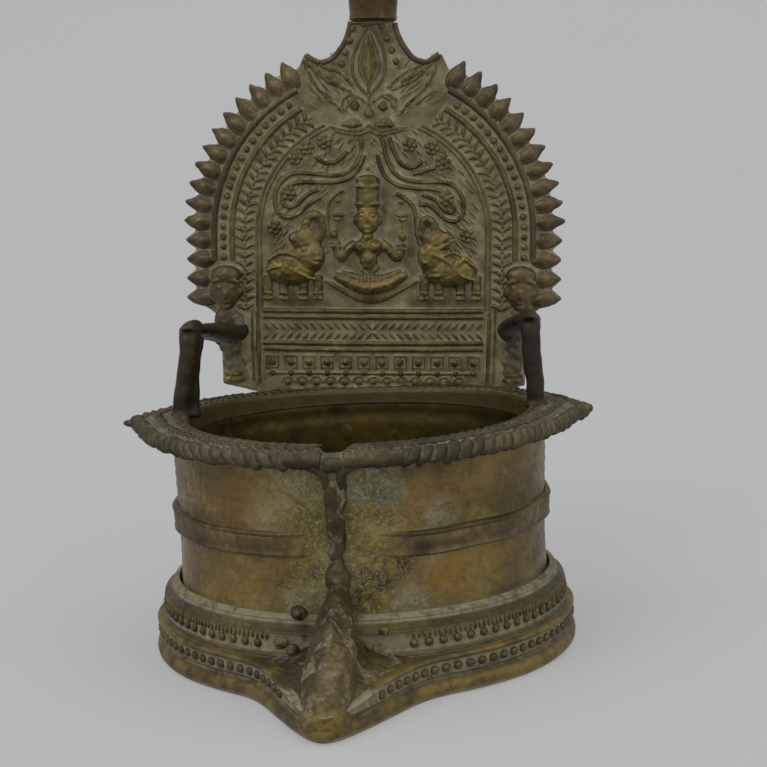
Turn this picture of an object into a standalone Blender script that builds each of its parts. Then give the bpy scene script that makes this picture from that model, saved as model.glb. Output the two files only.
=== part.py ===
"""Cast-brass oil lamp with an arched relief back plate, as separate castings.

Metres, +Z up. The origin is on the ground under the middle of the lamp's
overall box, and the wick spout points along -Y. The reservoir's axis stands
AXIS_Y behind the origin. Castings that touch keep a joint line of GAP.
"""

import math

import bmesh
import bpy
from mathutils import Matrix, Vector

# ---- hand-made set: the spout is turned and the plate leans, both by a little -----
SPOUT_TURN = math.radians(-3.4)
PLATE_LEAN = math.radians(2.2)
LEAN_PIVOT = 0.031

# ---- fits -------------------------------------------------------------------
GAP = 0.0003
RIVET_PLAY = 0.00025

# ---- foot -------------------------------------------------------------------
PLINTH_HEIGHT = 0.0093
PLINTH_OVERHANG = 0.0063
PLINTH_LEDGE = 0.0055
PLINTH_EDGE = 0.0018
COLLAR_HEIGHT = 0.009
COLLAR_WIDTH = 0.004
COLLAR_EDGE = 0.0012
TOE_LENGTH = 0.0315
TOE_TIP = 0.06
NOSE_BLEND = 24

# ---- reservoir --------------------------------------------------------------
DRUM_RADIUS = 0.0455
DRUM_WALL = 0.003
TOE_FLARE = DRUM_RADIUS + GAP
DRUM_HEIGHT = 0.0426
DRUM_WAIST = 0.0006
FLOOR_THICKNESS = 0.003
FLOOR_RECESS = 0.0067
FLOOR_FILLET = 0.0015
BAND_WIDTH = 0.005
BAND_THICKNESS = 0.0014
BAND_DROP = 0.0207

# ---- rim --------------------------------------------------------------------
RIM_THICKNESS = 0.0035
RIM_LIP = 0.0009
RIM_OVERHANG = 0.0028
RIM_EDGE = 0.0005
RIM_SWELL = 0.0028
RIM_SWELL_SPREAD = math.radians(66)
RIM_BEAK = 0.0021
RIM_BEAK_SPREAD = math.radians(9)
ROPE_RADIUS = 0.0018
LIP_HALF_ANGLE = math.radians(6)
NOTCH_WIDTH = 0.0062
NOTCH_WALL = 0.0018

# ---- spout rib and keel -----------------------------------------------------
RIB_WIDTH = 0.005
RIB_DEPTH = 0.003
BUD_RADIUS = 0.0034
BUD_LENGTH = 0.0075
BUD_CLEARANCE = 0.0013
KEEL_HEIGHT = 0.0125
KEEL_HALF_WIDTH = 0.0165
RIB_LENGTH = DRUM_HEIGHT - KEEL_HEIGHT - BUD_LENGTH - BUD_CLEARANCE - GAP

# ---- back plate -------------------------------------------------------------
PLATE_THICKNESS = 0.0026
PLATE_STANDOFF = 0.0021
ARCH_RISE = 0.042
ARCH_RADIUS = 0.0513
TOOTH_DEPTH = 0.0036
ARCH_TEETH = 11
ARCH_FIRST_TOOTH = math.radians(3.6)
TOOTH_PITCH = math.radians(5.82)
LOWER_TEETH = 4
RELIEF_UNIT = ARCH_RADIUS / 51.3
WING_INSET = 9.8
WING_HALF_WIDTH = ARCH_RADIUS - WING_INSET * RELIEF_UNIT
GUARDIAN_X = WING_HALF_WIDTH - 0.001
PILASTER_X = WING_HALF_WIDTH - 0.005
SILL_INSET = 20.8
SILL_HALF_WIDTH = ARCH_RADIUS - SILL_INSET * RELIEF_UNIT
WING_SHOULDER = 0.0055
TAB_HALF_WIDTH = 0.0225
TAB_DEPTH = 0.0175
EAR_HALF_SPAN = 0.0183
NECK_HALF_WIDTH = 0.0064
NECK_LENGTH = 0.0045
TANG_HALF_WIDTH = 0.0035
TANG_LENGTH = 0.009

# ---- rivets -----------------------------------------------------------------
RIVET_RADIUS = 0.0019
RIVET_HEAD = 0.0034
RIVET_CROWN = 0.0008
RIVET_HALF_SPACING = 0.008
RIVET_DROP = 0.0085

# ---- struts -----------------------------------------------------------------
STRUT_RISE = 0.0225
STRUT_LEANS = {-1: 0.0026, 1: 0.001}
STRUT_HALF_WIDTH = 0.0031
STRUT_HALF_THICKNESS = 0.0028
TONGUE_HALF_WIDTH = 0.0042
TONGUE_HALF_THICKNESS = 0.0022
TONGUE_DROP = 0.0105
TONGUE_CLEARANCE = 0.0016
TONGUE_LANDING_X = SILL_HALF_WIDTH + TONGUE_HALF_WIDTH + TONGUE_CLEARANCE
STRUT_BEND = 0.008

# ---- relief castings on the plate -------------------------------------------
RIB_INSETS = {"outer_rib": 8.1, "middle_rib": 13, "field_rib": 20.1}
RIB_TOPS = {"outer_rib": 62, "middle_rib": 60, "field_rib": 66}
RIB_TUBE = 0.0009
RIB_FEET = {"outer_rib": 0.0345, "middle_rib": 0.0345, "field_rib": 0.0218}
SILL_RISES = {"sill_upper": 0.0198, "sill_lower": 0.0115}
SILL_TUBE = 0.001
RELIEF_DEPTH = 0.003
GROUND_LINE = 0.0238
GUARDIAN_RISE = 0.0215
MASK_RISE = 31.2

# ---- finial -----------------------------------------------------------------
STEM_RADIUS = 0.0066
STEM_HEIGHT = 0.0155
KNOP_RADIUS = 0.008
KNOP_HEIGHT = 0.006
BUD_TOP_RADIUS = 0.0065
BUD_TOP_HEIGHT = 0.0155
PEG_RADIUS = 0.0024
PEG_LENGTH = 0.004

# ---- worked out from the sizes above ----------------------------------------
DRUM_BOTTOM = PLINTH_HEIGHT + GAP
DRUM_TOP = DRUM_BOTTOM + DRUM_HEIGHT
RIM_BOTTOM = DRUM_TOP + GAP
RIM_TOP = RIM_BOTTOM + RIM_THICKNESS
FLOOR_TOP = DRUM_BOTTOM + FLOOR_RECESS + FLOOR_THICKNESS
DRUM_BORE = DRUM_RADIUS - DRUM_WALL
PLINTH_RADIUS = DRUM_RADIUS + PLINTH_OVERHANG
TOE_REACH = DRUM_RADIUS + TOE_LENGTH
COLLAR_RADIUS = DRUM_RADIUS + GAP + COLLAR_WIDTH
RIM_RADIUS = DRUM_RADIUS + RIM_OVERHANG
RIM_OPENING = DRUM_BORE - RIM_LIP
ROPE_OFFSET = GAP + ROPE_RADIUS
PLATE_FRONT = DRUM_RADIUS + PLATE_STANDOFF
PLATE_BACK = PLATE_FRONT + PLATE_THICKNESS
PLATE_MIDDLE = (PLATE_FRONT + PLATE_BACK) / 2
RELIEF_BACK = PLATE_FRONT - GAP
ARCH_CENTRE = RIM_TOP + ARCH_RISE
NECK_TOP = ARCH_CENTRE + ARCH_RADIUS + NECK_LENGTH
RIVET_Z = RIM_BOTTOM - RIVET_DROP
AXIS_Y = (TOE_REACH - PLATE_MIDDLE - KNOP_RADIUS) / 2

ROUND_STEPS = 48
SMALL_STEPS = 16
CUT_SPARE = 0.002

BRASS = ("aged_brass", (0.20, 0.165, 0.10), 0.50)
DARK_BRASS = ("dark_brass", (0.11, 0.09, 0.06), 0.55)
RELIEF_BRASS = ("relief_brass", (0.26, 0.22, 0.12), 0.45)


# ---- scene and materials ----------------------------------------------------
def clear_scene():
    for obj in list(bpy.data.objects):
        bpy.data.objects.remove(obj, do_unlink=True)


def new_collection(name):
    collection = bpy.data.collections.new(name)
    bpy.context.scene.collection.children.link(collection)
    return collection


def brass(finish):
    name, colour, roughness = finish
    material = bpy.data.materials.get(name)
    if material is None:
        material = bpy.data.materials.new(name)
        material.use_nodes = True
        shader = material.node_tree.nodes["Principled BSDF"]
        shader.inputs["Base Color"].default_value = (*colour, 1)
        shader.inputs["Metallic"].default_value = 0.9
        shader.inputs["Roughness"].default_value = roughness
    return material


def add_part(name, data, finish=BRASS, location=(0, AXIS_Y, 0)):
    obj = bpy.data.objects.new(name, data)
    lamp.objects.link(obj)
    obj.location = location
    data.materials.append(brass(finish))
    return obj


def shade_round(obj, angle=40):
    obj.data.shade_smooth()
    obj.data.set_sharp_from_angle(angle=math.radians(angle))


# ---- shape makers -----------------------------------------------------------
def turned(name, profile, finish=BRASS, steps=ROUND_STEPS, location=(0, AXIS_Y, 0), closed=False):
    """A profile of (radius, height) points, run down its outer side, turned about Z."""
    mesh = bpy.data.meshes.new(name)
    edges = [(i, i + 1) for i in range(len(profile) - 1)]
    if closed:
        edges.append((len(profile) - 1, 0))
    mesh.from_pydata([(radius, 0, height) for radius, height in profile], edges, [])
    obj = add_part(name, mesh, finish, location)
    screw = obj.modifiers.new("turn", "SCREW")
    screw.steps = screw.render_steps = steps
    screw.use_merge_vertices = True
    screw.merge_threshold = 0.00001
    screw.use_smooth_shade = True
    return obj


def loft(name, rings, finish=BRASS, location=(0, AXIS_Y, 0)):
    """A closed solid through rings of points, each ring with the same count."""
    mesh = bpy.data.meshes.new(name)
    shape = bmesh.new()
    rows = [[shape.verts.new(point) for point in ring] for ring in rings]
    for lower, upper in zip(rows, rows[1:]):
        for i, corner in enumerate(lower):
            j = (i + 1) % len(lower)
            shape.faces.new((corner, lower[j], upper[j], upper[i]))
    shape.faces.new(rows[0])
    shape.faces.new(rows[-1])
    bmesh.ops.recalc_face_normals(shape, faces=shape.faces)
    shape.to_mesh(mesh)
    shape.free()
    obj = add_part(name, mesh, finish, location)
    shade_round(obj)
    return obj


def slab(name, loops, thickness, finish=BRASS, edge=0.0, upright=False, height=0.0, front=0.0):
    """A flat outline with thickness. Lying, its underside is at height; upright, its front is at front."""
    curve = bpy.data.curves.new(name, "CURVE")
    curve.dimensions = "2D"
    curve.fill_mode = "BOTH"
    curve.extrude = thickness / 2 - edge
    curve.bevel_depth = edge
    curve.bevel_resolution = 0
    curve.offset = -edge
    for loop in loops:
        spline = curve.splines.new("POLY")
        spline.points.add(len(loop) - 1)
        for point, (x, y) in zip(spline.points, loop):
            point.co = (x, y, 0, 1)
        spline.use_cyclic_u = True
    guide = add_part(name + "_outline", curve, finish)
    if upright:
        guide.rotation_euler = (math.radians(90), 0, 0)
        guide.location = (0, AXIS_Y + front + thickness / 2, 0)
    else:
        guide.location = (0, AXIS_Y, height + thickness / 2)
    return as_mesh(guide, name)


def tube(name, points, radius, finish=BRASS, sides=2):
    """A round bar along points, with filled ends."""
    curve = bpy.data.curves.new(name, "CURVE")
    curve.dimensions = "3D"
    curve.bevel_depth = radius
    curve.bevel_resolution = sides
    curve.use_fill_caps = True
    spline = curve.splines.new("POLY")
    spline.points.add(len(points) - 1)
    for point, place in zip(spline.points, points):
        point.co = (*place, 1)
    return add_part(name, curve, finish)


def as_mesh(guide, name):
    """Swaps a curve object for a mesh of the same shape, with its caps welded."""
    bpy.context.view_layer.update()
    graph = bpy.context.evaluated_depsgraph_get()
    mesh = bpy.data.meshes.new_from_object(guide.evaluated_get(graph))
    shape = bmesh.new()
    shape.from_mesh(mesh)
    bmesh.ops.remove_doubles(shape, verts=shape.verts, dist=0.000001)
    bmesh.ops.recalc_face_normals(shape, faces=shape.faces)
    shape.to_mesh(mesh)
    shape.free()
    obj = bpy.data.objects.new(name, mesh)
    lamp.objects.link(obj)
    obj.matrix_world = guide.matrix_world.copy()
    bpy.data.objects.remove(guide, do_unlink=True)
    return obj


def as_cutter(obj):
    lamp.objects.unlink(obj)
    cutters.objects.link(obj)
    obj.hide_render = True
    obj.display_type = "WIRE"
    return obj


def cut(obj, cutter):
    modifier = obj.modifiers.new("cut_" + cutter.name, "BOOLEAN")
    modifier.operation = "DIFFERENCE"
    modifier.object = cutter


def cylinder_cutter(name, radius, length, place, along_y=False):
    mesh = bpy.data.meshes.new(name)
    shape = bmesh.new()
    steps = SMALL_STEPS if along_y else ROUND_STEPS
    bmesh.ops.create_cone(
        shape, cap_ends=True, segments=steps, radius1=radius, radius2=radius, depth=length
    )
    if along_y:
        bmesh.ops.rotate(shape, verts=shape.verts, matrix=Matrix.Rotation(math.pi / 2, 3, "X"))
    shape.to_mesh(mesh)
    shape.free()
    return as_cutter(add_part(name, mesh, location=place))


def box(name, size, place, finish=BRASS, edge=0.0):
    mesh = bpy.data.meshes.new(name)
    shape = bmesh.new()
    bmesh.ops.create_cube(shape, size=1)
    bmesh.ops.scale(shape, verts=shape.verts, vec=size)
    shape.to_mesh(mesh)
    shape.free()
    obj = add_part(name, mesh, finish, place)
    if edge:
        bevel = obj.modifiers.new("edges", "BEVEL")
        bevel.width = edge
        bevel.segments = 2
    return obj


def half_round(z, half_width, depth, centre=0.0, points=8):
    """A section flat against the plate and bulging forwards from it."""
    angles = [math.pi * i / points for i in range(points + 1)]
    return [
        Vector((centre + half_width * math.cos(a), RELIEF_BACK - depth * math.sin(a), z))
        for a in angles
    ]


# ---- plan outlines ----------------------------------------------------------
def nose_radius(bearing, radius, reach, flare, tip):
    """Radius of a round plan that has one pointed nose, at an angle bearing from that nose."""
    if math.cos(bearing) < 0.4:
        return radius
    side = math.hypot(math.sin(bearing), tip)
    edge = flare / (side + (flare / reach - tip) * math.cos(bearing))
    return radius * (1 + (edge / radius) ** NOSE_BLEND) ** (1 / NOSE_BLEND)


def nosed_plan(radius, reach, count=72):
    loop = []
    for i in range(count):
        bearing = 2 * math.pi * i / count
        r = nose_radius(bearing, radius, reach, TOE_FLARE, TOE_TIP)
        loop.append((r * math.sin(bearing), -r * math.cos(bearing)))
    return loop


def circle(radius, count=ROUND_STEPS):
    turns = [2 * math.pi * i / count for i in range(count)]
    return [(radius * math.cos(a), radius * math.sin(a)) for a in turns]


def rim_radius(angle, offset=0.0):
    """Radius of the rim's edge at an angle from +X, with a pointed tip at each side."""
    nearest = math.asin(abs(math.sin(angle)))
    swell = max(0, 1 - nearest / RIM_SWELL_SPREAD)
    beak = max(0, 1 - nearest / RIM_BEAK_SPREAD)
    return RIM_RADIUS + offset + RIM_SWELL * swell**1.3 + RIM_BEAK * beak


# ---- foot -------------------------------------------------------------------
def build_foot():
    slab(
        "foot_plinth",
        [nosed_plan(PLINTH_RADIUS, TOE_REACH), circle(DRUM_RADIUS - PLINTH_LEDGE)],
        PLINTH_HEIGHT,
        edge=PLINTH_EDGE,
    )
    outer = COLLAR_RADIUS
    inner = DRUM_RADIUS + GAP
    bottom = PLINTH_HEIGHT + GAP
    top = bottom + COLLAR_HEIGHT
    lean = COLLAR_WIDTH / 2
    collar = turned(
        "foot_collar",
        [
            (inner, top),
            (outer - lean, top),
            (outer - COLLAR_EDGE, top - COLLAR_HEIGHT * 0.3),
            (outer, top - COLLAR_HEIGHT * 0.5),
            (outer, bottom + COLLAR_EDGE),
            (outer - COLLAR_EDGE, bottom),
            (inner, bottom),
        ],
        closed=True,
    )
    cut(collar, as_cutter(keel_body("keel_room", GAP)))
    keel = keel_body("toe_keel", 0.0)
    clear_drum = cylinder_cutter(
        "drum_room", DRUM_RADIUS + GAP, RIM_TOP, (0, AXIS_Y, RIM_TOP / 2)
    )
    cut(keel, clear_drum)
    shade_round(keel)


def keel_body(name, spare):
    """The web between the rib and the toe: rings that shrink from the toe's plan to the rib's width."""
    bottom = PLINTH_HEIGHT + GAP
    reach_low = TOE_REACH - 0.0035
    reach_high = DRUM_RADIUS + RIB_DEPTH + GAP
    rings = []
    shares = (0, 0.3, 0.6, 1)
    if spare:
        shares = (-1, *shares)
    for step in shares:
        share = max(0, step)
        fall = (1 - share) ** 1.5
        reach = reach_high + (reach_low - reach_high) * fall + spare
        width = RIB_WIDTH / 2 + (KEEL_HALF_WIDTH - RIB_WIDTH / 2) * fall + spare
        z = bottom + KEEL_HEIGHT * share + spare
        if step < 0:
            z -= CUT_SPARE
        root = DRUM_RADIUS * 0.9
        shoulder = DRUM_RADIUS * 0.99
        blunt = width * 0.22
        rings.append(
            [
                Vector((-width, -root, z)),
                Vector((-width, -shoulder, z)),
                Vector((-blunt, -reach + blunt * 0.4, z)),
                Vector((0, -reach, z)),
                Vector((blunt, -reach + blunt * 0.4, z)),
                Vector((width, -shoulder, z)),
                Vector((width, -root, z)),
            ]
        )
    return loft(name, rings, DARK_BRASS)


# ---- reservoir --------------------------------------------------------------
def build_reservoir():
    under = FLOOR_TOP - FLOOR_THICKNESS
    middle = (DRUM_TOP + DRUM_BOTTOM) / 2
    drum = turned(
        "reservoir",
        [
            (0, FLOOR_TOP),
            (DRUM_BORE - FLOOR_FILLET, FLOOR_TOP),
            (DRUM_BORE, FLOOR_TOP + FLOOR_FILLET),
            (DRUM_BORE, DRUM_TOP),
            (DRUM_RADIUS, DRUM_TOP),
            (DRUM_RADIUS, middle),
            (DRUM_RADIUS - DRUM_WAIST, (middle + DRUM_BOTTOM) / 2),
            (DRUM_RADIUS, DRUM_BOTTOM),
            (DRUM_BORE, DRUM_BOTTOM),
            (DRUM_BORE, under),
            (0, under),
        ],
    )
    band_top = DRUM_TOP - BAND_DROP + BAND_WIDTH
    band_bottom = band_top - BAND_WIDTH
    inner = DRUM_RADIUS + GAP
    outer = inner + BAND_THICKNESS
    chamfer = BAND_THICKNESS * 0.6
    band = turned(
        "drum_band",
        [
            (inner, band_top),
            (outer - chamfer, band_top),
            (outer, band_top - chamfer),
            (outer, band_bottom + chamfer),
            (outer - chamfer, band_bottom),
            (inner, band_bottom),
        ],
        closed=True,
    )
    room = box(
        "rib_room",
        (RIB_WIDTH + 2 * GAP, 4 * RIB_DEPTH, RIM_TOP),
        (0, AXIS_Y - DRUM_RADIUS, RIM_TOP / 2),
    )
    cut(band, as_cutter(room))
    bud_top = RIM_BOTTOM - RIB_LENGTH - GAP
    bud_room = box(
        "bud_room",
        (2 * (BUD_RADIUS + GAP), 4 * BUD_RADIUS, bud_top),
        (0, AXIS_Y - DRUM_RADIUS, bud_top / 2),
    )
    cut(band, as_cutter(bud_room))
    return drum


def build_boss():
    """The pad, above the band, that carries the flat plate on the round drum."""
    half_width = RIVET_HALF_SPACING + RIVET_HEAD + 0.0015
    half_height = RIVET_HEAD + 0.0035
    depth = PLATE_STANDOFF + DRUM_RADIUS * 0.08
    front = RELIEF_BACK - depth
    boss = box(
        "back_boss",
        (2 * half_width, depth, 2 * half_height),
        (0, AXIS_Y + front + depth / 2, RIVET_Z),
    )
    cut(boss, bpy.data.objects["drum_room"])
    return boss


# ---- rim --------------------------------------------------------------------
def build_rim():
    back = PLATE_FRONT - GAP
    loop = []
    for i in range(96):
        angle = 2 * math.pi * i / 96
        r = rim_radius(angle)
        loop.append((r * math.cos(angle), min(r * math.sin(angle), back)))
    flange = slab(
        "rim_flange",
        [loop, circle(RIM_OPENING)],
        RIM_THICKNESS,
        edge=RIM_EDGE,
        height=RIM_BOTTOM,
    )
    notch_end = RIM_RADIUS - NOTCH_WALL
    notch_start = RIM_OPENING - CUT_SPARE
    notch = box(
        "notch_cut",
        (NOTCH_WIDTH, notch_end - notch_start, RIM_THICKNESS + 2 * CUT_SPARE),
        (0, AXIS_Y - (notch_end + notch_start) / 2, RIM_BOTTOM + RIM_THICKNESS / 2),
    )
    cut(flange, as_cutter(notch))
    build_rope("rim_rope_left", -1)
    build_rope("rim_rope_right", 1)
    inner = RIM_RADIUS + GAP
    outer = inner + 2 * ROPE_RADIUS
    span = [LIP_HALF_ANGLE * (i / 6 - 1) for i in range(13)]
    outline = [(outer * math.sin(a), -outer * math.cos(a)) for a in span]
    outline += [(inner * math.sin(a), -inner * math.cos(a)) for a in reversed(span)]
    slab("wick_lip", [outline], RIM_THICKNESS, edge=RIM_EDGE, height=RIM_BOTTOM)


def build_rope(name, side):
    """Half of the rolled edge, from the wick lip round the side tip to the back plate."""
    start = -math.pi / 2 + side * SPOUT_TURN + LIP_HALF_ANGLE + (ROPE_RADIUS + GAP) / RIM_RADIUS
    back = PLATE_FRONT - GAP - 2 * ROPE_RADIUS
    end = math.asin(back / (RIM_RADIUS + ROPE_OFFSET))
    angles = [start * (1 - i / 24) for i in range(24)] + [end * i / 16 for i in range(17)]
    points = []
    for angle in angles:
        r = rim_radius(angle, ROPE_OFFSET)
        points.append((side * r * math.cos(angle), r * math.sin(angle), RIM_TOP - ROPE_RADIUS))
    tube(name, points, ROPE_RADIUS, DARK_BRASS)


# ---- spout rib --------------------------------------------------------------
def build_spout_rib():
    face = DRUM_RADIUS + GAP
    top = RIM_BOTTOM - GAP
    bottom = top - RIB_LENGTH

    def section(z, half_width, depth):
        turn = [math.pi * i / 8 for i in range(9)]
        return [Vector((half_width * math.cos(a), -face - depth * math.sin(a), z)) for a in turn]

    loft(
        "spout_rib",
        [
            section(bottom, RIB_WIDTH * 0.4, RIB_DEPTH * 0.7),
            section(bottom + RIB_LENGTH / 2, RIB_WIDTH * 0.42, RIB_DEPTH * 0.8),
            section(top - RIB_DEPTH, RIB_WIDTH / 2, RIB_DEPTH),
            section(top, RIB_WIDTH / 2, RIB_DEPTH),
        ],
        DARK_BRASS,
    )
    bud_top = bottom - GAP
    rings = [
        section(bud_top - BUD_LENGTH * share, BUD_RADIUS * swell, BUD_RADIUS * swell)
        for share, swell in ((1, 0.45), (0.75, 0.92), (0.5, 1), (0.25, 0.85), (0, 0.5))
    ]
    loft("rib_bud", rings, DARK_BRASS)


# ---- back plate -------------------------------------------------------------
def tooth_height(share):
    """Height of one tooth, from 0 at its ends to 1 at its point, which is share 0.5."""
    return (1 - abs(2 * share - 1)) ** 0.8


def plate_half_outline():
    """The right half of the plate's outline, from the tab's foot up to the neck."""
    wing_top = ARCH_CENTRE - 0.0207
    base = ARCH_RADIUS - TOOTH_DEPTH
    pitch = ARCH_RADIUS * TOOTH_PITCH
    lower_start = ARCH_CENTRE + ARCH_RADIUS * ARCH_FIRST_TOOTH - pitch / 2 - LOWER_TEETH * pitch
    points = [
        (TAB_HALF_WIDTH * 0.8, RIM_BOTTOM - TAB_DEPTH),
        (TAB_HALF_WIDTH, RIM_BOTTOM - TAB_DEPTH + 0.003),
        (TAB_HALF_WIDTH, RIM_BOTTOM - GAP),
        (WING_HALF_WIDTH, RIM_BOTTOM + 0.004),
        (WING_HALF_WIDTH, wing_top - WING_SHOULDER),
        (WING_HALF_WIDTH + 0.0015, wing_top - 0.0015),
        (base - 0.002, lower_start),
    ]
    for tooth in range(LOWER_TEETH):
        for step in range(1, 7):
            rise = (tooth + step / 6) * pitch
            points.append((base + TOOTH_DEPTH * tooth_height(step / 6), lower_start + rise))
    first = ARCH_FIRST_TOOTH - TOOTH_PITCH / 2
    for tooth in range(ARCH_TEETH):
        for step in range(1, 7):
            angle = first + TOOTH_PITCH * (tooth + step / 6)
            r = base + TOOTH_DEPTH * tooth_height(step / 6)
            points.append((r * math.cos(angle), ARCH_CENTRE + r * math.sin(angle)))
    ear_top = ARCH_CENTRE + math.sqrt(ARCH_RADIUS**2 - EAR_HALF_SPAN**2)
    dip = ARCH_CENTRE + ARCH_RADIUS - 0.0055
    points += [
        (EAR_HALF_SPAN, ear_top),
        (EAR_HALF_SPAN - 0.0035, dip),
        (NECK_HALF_WIDTH + 0.0046, dip + 0.0012),
        (NECK_HALF_WIDTH + 0.0022, dip + 0.0045),
        (NECK_HALF_WIDTH + 0.0006, NECK_TOP - 0.0025),
        (NECK_HALF_WIDTH, NECK_TOP),
        (TANG_HALF_WIDTH, NECK_TOP),
        (TANG_HALF_WIDTH, NECK_TOP + TANG_LENGTH),
    ]
    return points


def build_plate():
    right = plate_half_outline()
    left = [(-x, z) for x, z in reversed(right)]
    return slab("back_plate", [right + left], PLATE_THICKNESS, upright=True, front=PLATE_FRONT)


# ---- rivets -----------------------------------------------------------------
def build_rivet(name, x, z, front, back):
    """A rivet along Y: its shank runs from front to back, with a domed head outside each."""
    head = [
        (0, RIVET_CROWN),
        (RIVET_HEAD * 0.6, RIVET_CROWN * 0.85),
        (RIVET_HEAD * 0.9, RIVET_CROWN * 0.4),
        (RIVET_HEAD, 0),
        (RIVET_RADIUS, 0),
    ]
    length = back - front
    profile = [(r, length + h) for r, h in head] + [(r, -h) for r, h in reversed(head)]
    rivet = turned(name, profile, DARK_BRASS, SMALL_STEPS, (x, AXIS_Y + front, z))
    rivet.rotation_euler = (-math.pi / 2, 0, 0)
    return rivet


def build_plate_rivets(drum, boss, plate):
    hole = RIVET_RADIUS + RIVET_PLAY
    for name, side in (("plate_rivet_left", -1), ("plate_rivet_right", 1)):
        x = side * RIVET_HALF_SPACING
        shy = RIVET_HALF_SPACING + RIVET_HEAD
        front = math.sqrt(DRUM_BORE**2 - shy**2) - GAP
        build_rivet(name, x, RIVET_Z, front, PLATE_BACK + GAP)
        length = 4 * (PLATE_BACK - front)
        cutter = cylinder_cutter(
            name + "_hole", hole, length, (x, AXIS_Y + PLATE_FRONT, RIVET_Z), along_y=True
        )
        for part in (drum, boss, plate):
            cut(part, cutter)


# ---- struts -----------------------------------------------------------------
def strut_stations(side):
    """Centre, forward direction, half width and half thickness along one strut."""
    post_x = (DRUM_RADIUS + RIM_OPENING) / 2
    base = RIM_TOP + GAP
    top = base + STRUT_RISE
    landing_y = PLATE_FRONT - GAP
    landing_z = top + STRUT_HALF_THICKNESS - TONGUE_DROP
    run = landing_y - STRUT_BEND
    slope = math.atan2(landing_z - top, run)
    shift = TONGUE_LANDING_X - post_x
    wide = TONGUE_HALF_WIDTH
    thick = STRUT_HALF_THICKNESS
    droop = math.degrees(slope)
    lean = STRUT_LEANS[side]
    spine = [
        (post_x, 0, base, 90, STRUT_HALF_WIDTH, thick),
        (post_x - lean * 0.4, 0, base + STRUT_RISE * 0.45, 90, STRUT_HALF_WIDTH * 0.9, thick),
        (post_x - lean, 0, top - STRUT_BEND, 90, STRUT_HALF_WIDTH, thick),
        (post_x - lean, STRUT_BEND * 0.3, top - STRUT_BEND * 0.3, 45, STRUT_HALF_WIDTH, thick),
        (post_x + shift * 0.3, STRUT_BEND, top, droop * 0.5, wide * 0.9, TONGUE_HALF_THICKNESS * 1.1),
        (
            post_x + shift * 0.7,
            STRUT_BEND + run * 0.55,
            top + (landing_z - top) * 0.45,
            droop,
            wide,
            TONGUE_HALF_THICKNESS,
        ),
    ]
    stations = [(Vector((side * x, y, z)), a, w, t) for x, y, z, a, w, t in spine]
    landing_x, landing_z = leaned(side * TONGUE_LANDING_X, landing_z)
    stations.append((Vector((landing_x, landing_y, landing_z)), 0, wide * 0.9, RIVET_HEAD))
    return stations


def leaned(x, z):
    """Where a point of the upright plate ends up once the plate leans."""
    height = z - LEAN_PIVOT
    return (
        x * math.cos(PLATE_LEAN) + height * math.sin(PLATE_LEAN),
        LEAN_PIVOT + height * math.cos(PLATE_LEAN) - x * math.sin(PLATE_LEAN),
    )


def build_strut(name, side):
    rings = []
    for centre, pitch, half_width, half_thickness in strut_stations(side):
        tilt = math.radians(pitch)
        across = Vector((0, -math.sin(tilt), math.cos(tilt)))
        ring = []
        for i in range(12):
            angle = 2 * math.pi * i / 12
            u = math.copysign(abs(math.cos(angle)) ** 0.6, math.cos(angle))
            v = math.copysign(abs(math.sin(angle)) ** 0.6, math.sin(angle))
            ring.append(centre + Vector((half_width * u, 0, 0)) + across * half_thickness * v)
        rings.append(ring)
    return loft(name, rings, DARK_BRASS)


def build_struts(plate):
    tenon = PLATE_THICKNESS + RIVET_CROWN
    for label, side in (("left", -1), ("right", 1)):
        strut = build_strut("strut_" + label, side)
        landing = strut_stations(side)[-1][0]
        depth = RIVET_HEAD * 1.4
        hole = cylinder_cutter(
            "strut_hole_" + label,
            RIVET_RADIUS + RIVET_PLAY,
            2 * (depth + tenon),
            (landing.x, AXIS_Y + PLATE_FRONT + tenon, landing.z),
            along_y=True,
        )
        cut(strut, hole)
        cut(plate, hole)
        head = [
            (0, PLATE_BACK + GAP + RIVET_CROWN),
            (RIVET_HEAD * 0.6, PLATE_BACK + GAP + RIVET_CROWN * 0.85),
            (RIVET_HEAD, PLATE_BACK + GAP),
            (RIVET_RADIUS, PLATE_BACK + GAP),
            (RIVET_RADIUS, PLATE_FRONT - depth + GAP),
            (0, PLATE_FRONT - depth + GAP),
        ]
        rivet = turned(
            "strut_rivet_" + label, head, DARK_BRASS, SMALL_STEPS, (landing.x, AXIS_Y, landing.z)
        )
        rivet.rotation_euler = (-math.pi / 2, 0, 0)


# ---- relief castings --------------------------------------------------------
def build_ribs():
    for name, inset in RIB_INSETS.items():
        radius = ARCH_RADIUS - inset * RELIEF_UNIT
        y = RELIEF_BACK - RIB_TUBE
        top = math.radians(RIB_TOPS[name])
        for label, side in (("left", -1), ("right", 1)):
            points = [(side * radius, y, RIM_TOP + RIB_FEET[name])]
            for i in range(19):
                angle = top * i / 18
                x = radius * math.cos(angle)
                points.append((side * x, y, ARCH_CENTRE + radius * math.sin(angle)))
            tube(f"{name}_{label}", points, RIB_TUBE, RELIEF_BRASS, 1)
    for name, rise in SILL_RISES.items():
        y = RELIEF_BACK - SILL_TUBE
        z = RIM_TOP + rise
        ends = [(-SILL_HALF_WIDTH, y, z), (0, y, z), (SILL_HALF_WIDTH, y, z)]
        tube(name, ends, SILL_TUBE, RELIEF_BRASS, 1)


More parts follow.
